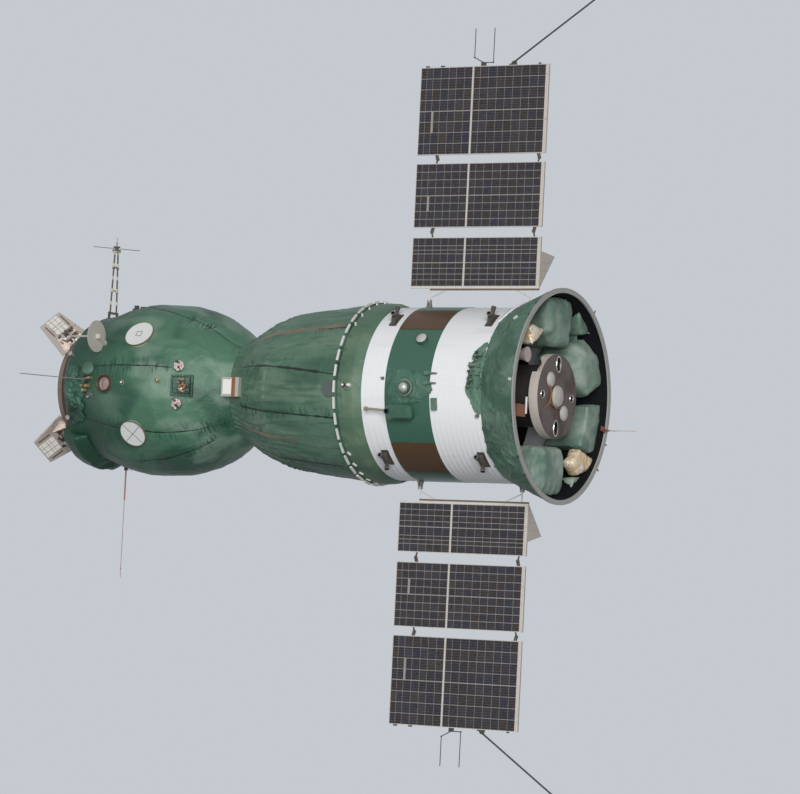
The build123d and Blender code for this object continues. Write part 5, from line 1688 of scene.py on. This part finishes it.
@dataclass
class ServiceModule:
    """Transfer section, two white radiators, the instrument band and the flared skirt."""

    fore_radiator: tuple = (-2.280, -1.940)
    aft_radiator: tuple = (-1.300, -0.580)
    rib_pitch: float = 0.072
    rib_steps: int = 8

    def build(self) -> None:
        """Build the blankets and ribbed skins and dress what stands on them."""
        transfer = Outline.of("transfer_section", -2.599, -2.281, 0.02)
        blanket = Blanket("transfer_blanket", transfer, (), ("lacing_clips",), 0.006, 0.005, 0.006,
                          hold_reach=0.04, seed=7.7)
        blanket.declare(blanket.build(PALE_CLOTH, Slot.HULL_BLANKET))
        skirt = Outline.of("aft_skirt", -0.579, -0.021, 0.02)
        seams = tuple(((-0.56, a), (-0.04, a)) for a in (38.0, -24.0, 84.0, -75.0, 140.0, -130.0))
        blanket = Blanket("skirt_blanket", skirt, seams, ("skirt_lamps", "root_brackets"),
                          0.007, 0.016, 0.024, hold_reach=0.05, wing_room=0.8, seed=2.9)
        lap = Crumple("skirt_apron", -0.560, -0.21, -16.0, 32.0).build(
            Outline.straight(RADIATOR_R), SKIRT_CLOTH, Slot.DARK_BLANKET)
        blanket.declare(blanket.build(SKIRT_CLOTH, Slot.HULL_BLANKET))
        mound = Crumple("band_mound", -1.93, 0.66, -13.0, 13.0, 0.004, 0.020, 0.06, 0.034).build(
            Outline.straight(BAND_R), BAND_CLOTH, Slot.BAND_GREEN)
        self.white_edge(skirt)
        dress(HULL_CLOTH, "transfer_section")
        # The skirt's inside and the core bulkhead are painted near black as shade.
        dress(PAINTED_SHADE, "aft_skirt", "service_core")
        dress(RADIATOR, "fore_radiator", "aft_radiator")
        dress(BAND, "instrument_band", "band_sensors")
        dress(ION_TONE, "ion_sensor")
        dress(BROWN, "brown_panels")
        dress(RING_PAINT, "aft_ring")
        dress(SOOT, "attitude_thrusters")
        dress(MOSS, "band_fittings", "skirt_fittings")
        dress(GREY, "root_brackets")
        dress(WHITE, "skirt_lamps")
        dress(PROBE_TONE, "aft_probe")
        edge = frame["nodes"]["ion_sensor"].modifiers.new("edges", "BEVEL")
        edge.width = 0.022
        edge.segments = 3
        self.ribbed_skin("fore_radiator_skin", *self.fore_radiator)
        self.ribbed_skin("aft_radiator_skin", *self.aft_radiator)
        self.thruster_bells()
        self.sensor_faces()
        self.transfer_lamps()
        self.valves()

    def white_edge(self, outline: Outline) -> None:
        """White cover over the skirt's front edge at its top and far side.

        Args:
            outline: radius of the skirt.
        """
        last_row, last_column = 6, 72
        rows = []
        for row in range(last_row + 1):
            points = []
            for column in range(last_column + 1):
                angle = 50 + 90 * column / last_column
                reach = 0.15 * math.sin(math.pi * column / last_column) ** 0.6
                station = self.aft_radiator[1] + reach * row / last_row
                rise = 0.030 if row < last_row else 0.012
                points.append(hull_point(station, outline.radius(station) + rise, angle))
            rows.append(points)
        form = Form()
        form.grid(rows)
        form.build("skirt_edge_cover", [RADIATOR], Slot.RADIATOR_WHITE, sharp=SMOOTH)

    def ribbed_skin(self, name: str, start: float, end: float) -> None:
        """Skin raised over the coolant tubes.

        Args:
            name: the piece's name.
            start: first station.
            end: last station.
        """
        count = int((end - start) / self.rib_pitch) * self.rib_steps
        columns = 160
        rows = []
        for row in range(count + 1):
            station = start + (end - start) * row / count
            crest = max(0.0, math.cos(2 * math.pi * row / self.rib_steps)) ** 2
            rise = 0.0010 if 0 < row < count else 0.0004
            points = []
            for column in range(columns):
                angle = 360 * column / columns
                low = min(max((math.sin(math.radians(-angle)) - 0.35) / 0.4, 0.0), 1.0)
                points.append(hull_point(station, RADIATOR_R + rise + (0.0006 + 0.0024 * low) * crest, angle))
            rows.append(points)
        form = Form()
        form.grid(rows, closed=True)
        form.build(name, [RADIATOR], Slot.RADIATOR_WHITE, sharp=SMOOTH)

    def transfer_lamps(self) -> None:
        """Pair of small lamps on a mound of the transfer section's blanket."""
        form = Form()
        place = seat(-2.450, 1.152, 1.0)
        form.lathe(place, [(0.080, 0.0), (0.072, 0.012), (0.045, 0.020), (TIP, 0.022)], 24, 2)
        for shift, kind in ((-0.045, 1), (0.030, 0)):
            spot = moved(place, shift, 0, 0.012)
            form.lathe(spot, [(0.022, 0.0), (0.022, 0.045), (0.018, 0.050)], 16, kind)
            form.ball(spot @ Vector((0, 0, 0.05)), 0.017, 0)
        form.build("transfer_lamps", [PAD_WHITE, DARK_GREY, PALE_CLOTH], Slot.WHITE_PAINT)

    def valves(self) -> None:
        """Small valves, plugs and tabs among the crumpled cloth before the skirt."""
        form = Form()
        chance = random.Random(8)
        for step in range(16):
            station, angle = chance.uniform(-0.76, -0.64), 1.5 * step + chance.uniform(-1.0, 1.2)
            place, size = seat(station, RADIATOR_R + 0.016, angle), chance.uniform(0.011, 0.021)
            if step % 3 == 0:
                spin = Matrix.Rotation(chance.uniform(-1, 1), 4, "Z")
                form.box(place @ spin, (4 * size, size, 2 * size), step % 2)
            valve = [(size, 0.0), (size, 0.030), (size * 0.7, 0.034), (size * 0.7, 0.052), (TIP, 0.054)]
            form.lathe(place, valve, 12, step % 4)
        form.build("radiator_valves", [MOSS, OLIVE, DARK_GREY, DARK_CLOTH], Slot.OLIVE_PAINT, 0.001)

    def thruster_bells(self) -> None:
        """Rims of the thruster nozzles, their throats painted near black as shade."""
        form = Form()
        for station in (-2.070, -0.700):
            for angle, sign in ((53.0, 1), (-50.0, 1), (127.0, -1), (-130.0, -1)):
                base = seat(station, RADIATOR_R, angle)
                for start, end in (((0, sign * 20, 56), (-18, sign * 150, 104)),
                                   ((0, -sign * 30, 60), (22, -sign * 60, 150))):
                    foot, mouth = base @ (Vector(start) * MM), base @ (Vector(end) * MM)
                    place = facing(mouth, mouth - foot)
                    form.lathe(place, [(0.0225, -0.02), (0.0345, 0.0), (0.0345, 0.004), (0.028, 0.004),
                                       (0.024, 0.0012), (TIP, 0.0012)], 20)
                    form.lathe(place, [(0.024, 0.0016), (TIP, 0.0016)], 20, 1)
        form.build("thruster_rims", [GREY, PAINTED_SHADE], Slot.GREY_METAL)

    def sensor_faces(self) -> None:
        """Faces of the band's round sensor, small disc and lens, the lens's pane painted near black as shade.
        """
        form = Form()
        dome = seat(-1.624, 1.174, 0.0)
        form.lathe(dome, [(0.108, 0.0), (0.108, 0.004), (0.092, 0.005), (0.086, 0.0)], 40)
        form.ball(dome @ Vector((0, 0, 0.010)), 0.070, 2, 12)
        lens = moved(seat(-1.690, BAND_R, -15.0), -0.130, 0.030, 0.174)
        pane = [(0.030, 0.0), (0.030, 0.004), (0.022, 0.004), (0.020, 0.0005), (TIP, 0.0005)]
        form.lathe(lens, pane, 24, 3)
        small = seat(-1.522, 1.174, 33.0)
        form.lathe(small, [(0.068, 0.0), (0.064, 0.005), (0.030, 0.012), (TIP, 0.013)], 28, 1)
        form.build("band_sensor_faces", [GREY, CAP_WHITE, SILVER, PAINTED_SHADE], Slot.WHITE_PAINT)


@dataclass
class EngineBay:
    """Engine drum, its nozzles and covers, wrapped tanks, pipes and rods."""

    face: float = -0.085

    def build(self) -> None:
        """Puff up the wrapped packs, dress the drum and add pipes."""
        dress(DRUM, "engine_drum")
        dress(STEEL, "engine_nozzles")
        dress(BAY_TONE, "bay_fittings")
        dress(CAP_WHITE, "nozzle_covers")
        Pack("tank_blankets", 0.022, 0.010, 0.012, 0.012, 6.0).build(
            "tank_wraps", BAY_CLOTH, Slot.DARK_BLANKET)
        Pack("foil_packs", 0.016, 0.008, 0.010, 0.010, 12.0).build("foil_wraps", FOIL, Slot.GOLD_FOIL)
        self.caps()
        self.pipes()

    def on_face(self, y: float, z: float) -> Matrix:
        """Place on the drum's face, with local z aft."""
        return turned(Matrix.Translation((self.face, y, z)), 90, "Y")

    def caps(self) -> None:
        """Domed tops of the white covers and bright rims round the four nozzles at the edge."""
        form = Form()
        for y, z, radius, top in ((0, 0, 0.124, 0.030), (-0.198, 0.198, 0.084, 0.022),
                                  (0.198, -0.198, 0.084, 0.022)):
            place = self.on_face(y, z)
            form.lathe(place, [(radius + 0.012, 0.0), (radius + 0.012, 0.008), (radius + 0.001, 0.010)], 40)
            form.lathe(place, [(radius - 0.002, top), (radius * 0.8, top + 0.008), (TIP, top + 0.014)], 40)
        for y, z, half_y, half_z in ((-0.402, 0, 0.044, 0.044), (0.402, 0, 0.044, 0.044),
                                     (0, 0.402, 0.056, 0.092), (0, -0.402, 0.056, 0.092)):
            place = self.on_face(y, z) @ Matrix.Diagonal((half_z, half_y, 1, 1))
            rim = [(0.96, -0.030), (0.98, 0.006), (1.10, 0.010), (1.16, 0.006), (1.18, 0.0)]
            form.lathe(place, rim, 40, 1)
        form.build("cover_caps", [CAP_WHITE, SHINY], Slot.WHITE_PAINT)

    def pipes(self) -> None:
        """Pipes along the drum's side and rods across the bay."""
        form = Form()
        runs = (
            ([(-0.15, -0.70, -0.27), (-0.15, -0.70, -0.06)], 0.014, 0),
            ([(-0.078, -0.34, -0.16), (-0.074, -0.22, -0.10), (-0.078, -0.17, 0.02),
              (-0.074, -0.24, 0.14)], 0.012, 2),
            ([(-0.078, -0.20, -0.08), (-0.074, -0.06, -0.15), (-0.078, 0.10, -0.14)], 0.011, 2),
            ([(-0.25, -0.86, -0.27), (-0.25, -1.20, -0.30)], 0.012, 1),
            ([(-0.40, -0.50, -0.40), (-0.42, -0.80, -0.60), (-0.44, -1.00, -0.62)], 0.012, 0),
        )
        for path, radius, kind in runs:
            form.tube([Vector(p) for p in path], radius, 8, kind)
        form.build("bay_pipes", [WHITE, GOLD, RUST], Slot.WHITE_PAINT)


@dataclass
class SolarWing:
    """Wing of three folding panels with solar cells on the near side.

    Panels holds each one's name, inner and outer edge over the long axis, heights of its rows of cells
    as shares from the wing's tip, and the rows with a bar across their forward field. A bright line
    under half_row runs at half height.
    """

    side: Side
    front: float = -2.260
    rear: float = -0.408
    border: float = 0.008
    rear_border: float = 0.048
    divider: float = 0.026
    divider_share: float = 0.412
    recess: float = -0.009
    tile_thickness: float = 0.0018
    gap: float = 0.005
    row_gap: float = 0.007
    bar: float = 0.028
    bar_column: int = 2
    half_row: int = 4
    half_gap: float = 0.005
    fore_columns: tuple = (85, 100, 125, 125, 115, 130, 120)
    aft_columns: tuple = (95, 125, 130, 125, 120, 130, 120, 130, 110)
    panels: tuple = (
        ("inner", 1.383, 2.016, (16, 9, 8, 18, 12, 12, 12, 13), ()),
        ("middle", 2.143, 2.970, (1,) * 8, (4, 5)),
        ("outer", 3.080, 4.216, (1,) * 8, (4, 5)),
    )

    def build(self) -> None:
        """Lay the cells of each panel and dress its frame."""
        label = self.side.name.lower()
        for name, low, high, rows, barred in self.panels:
            self.cells(label, name, (low, high), rows, barred)
            dress(PANEL, f"{label}_{name}_panel")
        dress(ROOT_TONE, f"{label}_root_frame")
        dress(GUSSET_GREY, f"{label}_gusset")
        dress(DARK_GREY, f"{label}_tip_antennas")
        self.tip_fittings(label)

    def tip_fittings(self, label: str) -> None:
        """Small dark fittings on the outer panel's tip.

        Args:
            label: upper or lower.
        """
        form = Form()
        sign = self.side.value
        for station, long in ((-2.17, 0.05), (-1.95, 0.05), (-0.55, 0.03)):
            form.box(Matrix.Translation((station, 0, sign * 4.190)), (long, 0.02, sign * 0.045))
        form.build(f"{label}_tip_fittings", [DARK_GREY], Slot.ROD_STEEL, body=Body(f"{label}_outer"))

    def cells(self, label: str, name: str, edges: tuple[float, float], rows: tuple, barred: tuple) -> None:
        """Cell tiles of one panel, rows counted from the wing's tip.

        Args:
            label: upper or lower.
            name: the panel.
            edges: its inner and outer edge over the long axis.
            rows: heights of the rows, as shares.
            barred: which rows have a bar across their forward field.
        """
        low, high = edges
        chance = random.Random(f"{label}{name}")
        split = self.front + self.divider_share * (self.rear - self.front)
        fields = ((self.front + self.border, split - self.divider / 2, self.fore_columns),
                  (split + self.divider / 2, self.rear - self.rear_border, self.aft_columns))
        points, faces, tints, maps = [], [], [], []
        top = high - self.border
        span = high - low - 2 * self.border
        for index, row in enumerate(rows):
            height = span * row / sum(rows)
            edge_low, edge_high = top - height, top
            top = edge_low
            wide = self.half_gap if index == self.half_row else 0.0
            for number, (start, end, columns) in enumerate(fields):
                is_barred = index in barred and number == 0
                left = start
                for place, width in enumerate(columns):
                    right = left + (end - start) * width / sum(columns)
                    bar = self.bar if is_barred and place == self.bar_column else 0.0
                    cell = (left + self.gap / 2 + bar, right - self.gap / 2, edge_low + self.row_gap / 2,
                            edge_high - self.row_gap / 2 - wide)
                    shade = (chance.random(), 0.0, chance.random() ** 3)
                    self.tile(points, faces, cell)
                    tints += [shade] * 5
                    maps += [(0, 0), (1, 0), (1, 1), (0, 1)] * 5
                    left = right
        mesh = bpy.data.meshes.new(f"{label}_{name}_cells")
        mesh.from_pydata(points, [], faces)
        colours = mesh.attributes.new("tile", "FLOAT_COLOR", "CORNER")
        colours.data.foreach_set("color", [c for tint in tints for _ in range(4) for c in (*tint, 1.0)])
        chart = mesh.uv_layers.new(name="tile_map")
        chart.data.foreach_set("uv", [c for pair in maps for c in pair])
        mesh.materials.append(CELLS.material())
        mesh.validate()
        piece = bpy.data.objects.new(mesh.name, mesh)
        bpy.context.scene.collection.objects.link(piece)
        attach(piece, Body(f"{label}_{name}").value)
        log.info("%s: %d tiles", mesh.name, len(faces) // 5)

    def tile(self, points: list[Point], faces: list[Face], cell: tuple[float, float, float, float]) -> None:
        """Add one tile, open at its back.

        Args:
            points: the panel's points, added to.
            faces: the panel's faces, added to.
            cell: the tile's front, rear, inner and outer edge.
        """
        left, right, low, high = cell
        start = len(points)
        sign = self.side.value
        near, far = self.recess - self.tile_thickness, self.recess
        for y in (near, far):
            points += [(left, y, sign * low), (right, y, sign * low),
                       (right, y, sign * high), (left, y, sign * high)]
        for face in ((0, 1, 2, 3), (0, 4, 5, 1), (1, 5, 6, 2), (2, 6, 7, 3), (3, 7, 4, 0)):
            order = face if sign > 0 else tuple(reversed(face))
            faces.append(tuple(start + i for i in order))


class Antennas:
    """Mast and whip on the front module, whose shapes are solids."""

    def build(self) -> None:
        """Dress both."""
        dress(MAST_PAINT, "mast")
        dress(WHIP_RED, "whip")


# Studio


@dataclass
class Studio:
    """Camera, lights, backdrop and floor."""

    azimuth: float = 29.4064
    elevation: float = -3.4941
    roll: float = 2.8748
    right: float = -2.04073
    up: float = -0.00568
    distance: float = 45.8197
    lens: float = 164.738
    floor_height: float = -6.3
    floor_radius: float = 9.0

    def build(self) -> None:
        """Place everything that isn't the object."""
        self.camera()
        self.lights()
        self.backdrop()
        self.floor()
        bpy.context.scene.view_settings.view_transform = "Standard"

    def camera(self) -> None:
        """Camera at the photo's place and lens."""
        az, el, roll = (math.radians(v) for v in (self.azimuth, self.elevation, self.roll))
        back = Vector((math.sin(az) * math.cos(el), -math.cos(az) * math.cos(el), math.sin(el)))
        right = Vector((math.cos(az), math.sin(az), 0))
        up = back.cross(right)
        across = math.cos(roll) * right + math.sin(roll) * up
        upward = -math.sin(roll) * right + math.cos(roll) * up
        data = bpy.data.cameras.new("camera")
        data.lens = self.lens
        data.sensor_width = 36
        data.sensor_fit = "HORIZONTAL"
        data.clip_end = 200
        camera = bpy.data.objects.new("camera", data)
        turn = Matrix((across, upward, back)).transposed().to_4x4()
        spot = self.right * across + self.up * upward + self.distance * back
        camera.matrix_world = Matrix.Translation(spot) @ turn
        bpy.context.scene.collection.objects.link(camera)
        bpy.context.scene.camera = camera

    def lights(self) -> None:
        """Broad key light from the camera side and a weak fill from below."""
        for name, way, energy, spread in (("key", (0.46, -0.87, 0.18), 2.86, 36.0),
                                          ("fill", (0.86, -0.40, -0.30), 0.20, 60.0)):
            data = bpy.data.lights.new(name, "SUN")
            data.energy = energy
            data.angle = math.radians(spread)
            lamp = bpy.data.objects.new(name, data)
            lamp.rotation_euler = Vector(way).to_track_quat("Z", "Y").to_euler()
            bpy.context.scene.collection.objects.link(lamp)

    def backdrop(self) -> None:
        """Pale backdrop for the camera, metal and glass, soft light for the rest."""
        world = bpy.data.worlds.new("world")
        bpy.context.scene.world = world
        nodes = Nodes(world)
        rays = nodes.node("LightPath", output="Is Camera Ray")
        for kind in ("Is Glossy Ray", "Is Transmission Ray"):
            rays = rays.larger(nodes.node("LightPath", output=kind))
        seen = nodes.node("Background", {}, {"Color": linear(197, 202, 208)})
        soft = nodes.node("Background", {}, {"Color": (0.86, 0.93, 1.0), "Strength": 0.10})
        nodes.node("OutputWorld", {}, {"Surface": nodes.node("MixShader", {}, {0: rays, 1: soft, 2: seen})})

    def floor(self) -> None:
        """Round pale floor under the spacecraft."""
        centre = Vector((-3.3, 0, self.floor_height))
        points = [tuple(centre + spot) for spot in ring(self.floor_radius, 72)]
        mesh = bpy.data.meshes.new("floor")
        mesh.from_pydata(points, [], [tuple(range(len(points)))])
        mesh.materials.append(FLOOR.material())
        floor = bpy.data.objects.new("floor", mesh)
        bpy.context.scene.collection.objects.link(floor)


def main() -> None:
    """Build the spacecraft's look from nose to tail, then the studio."""
    logging.basicConfig(level=logging.INFO, format="%(message)s")
    noise.seed_set(FOLD_SEED)
    OrbitalModule().build()
    DescentModule().build()
    DockingUnit().build()
    ServiceModule().build()
    EngineBay().build()
    for side in Side:
        SolarWing(side).build()
    Antennas().build()
    Studio().build()


if __name__ == "__main__":
    main()
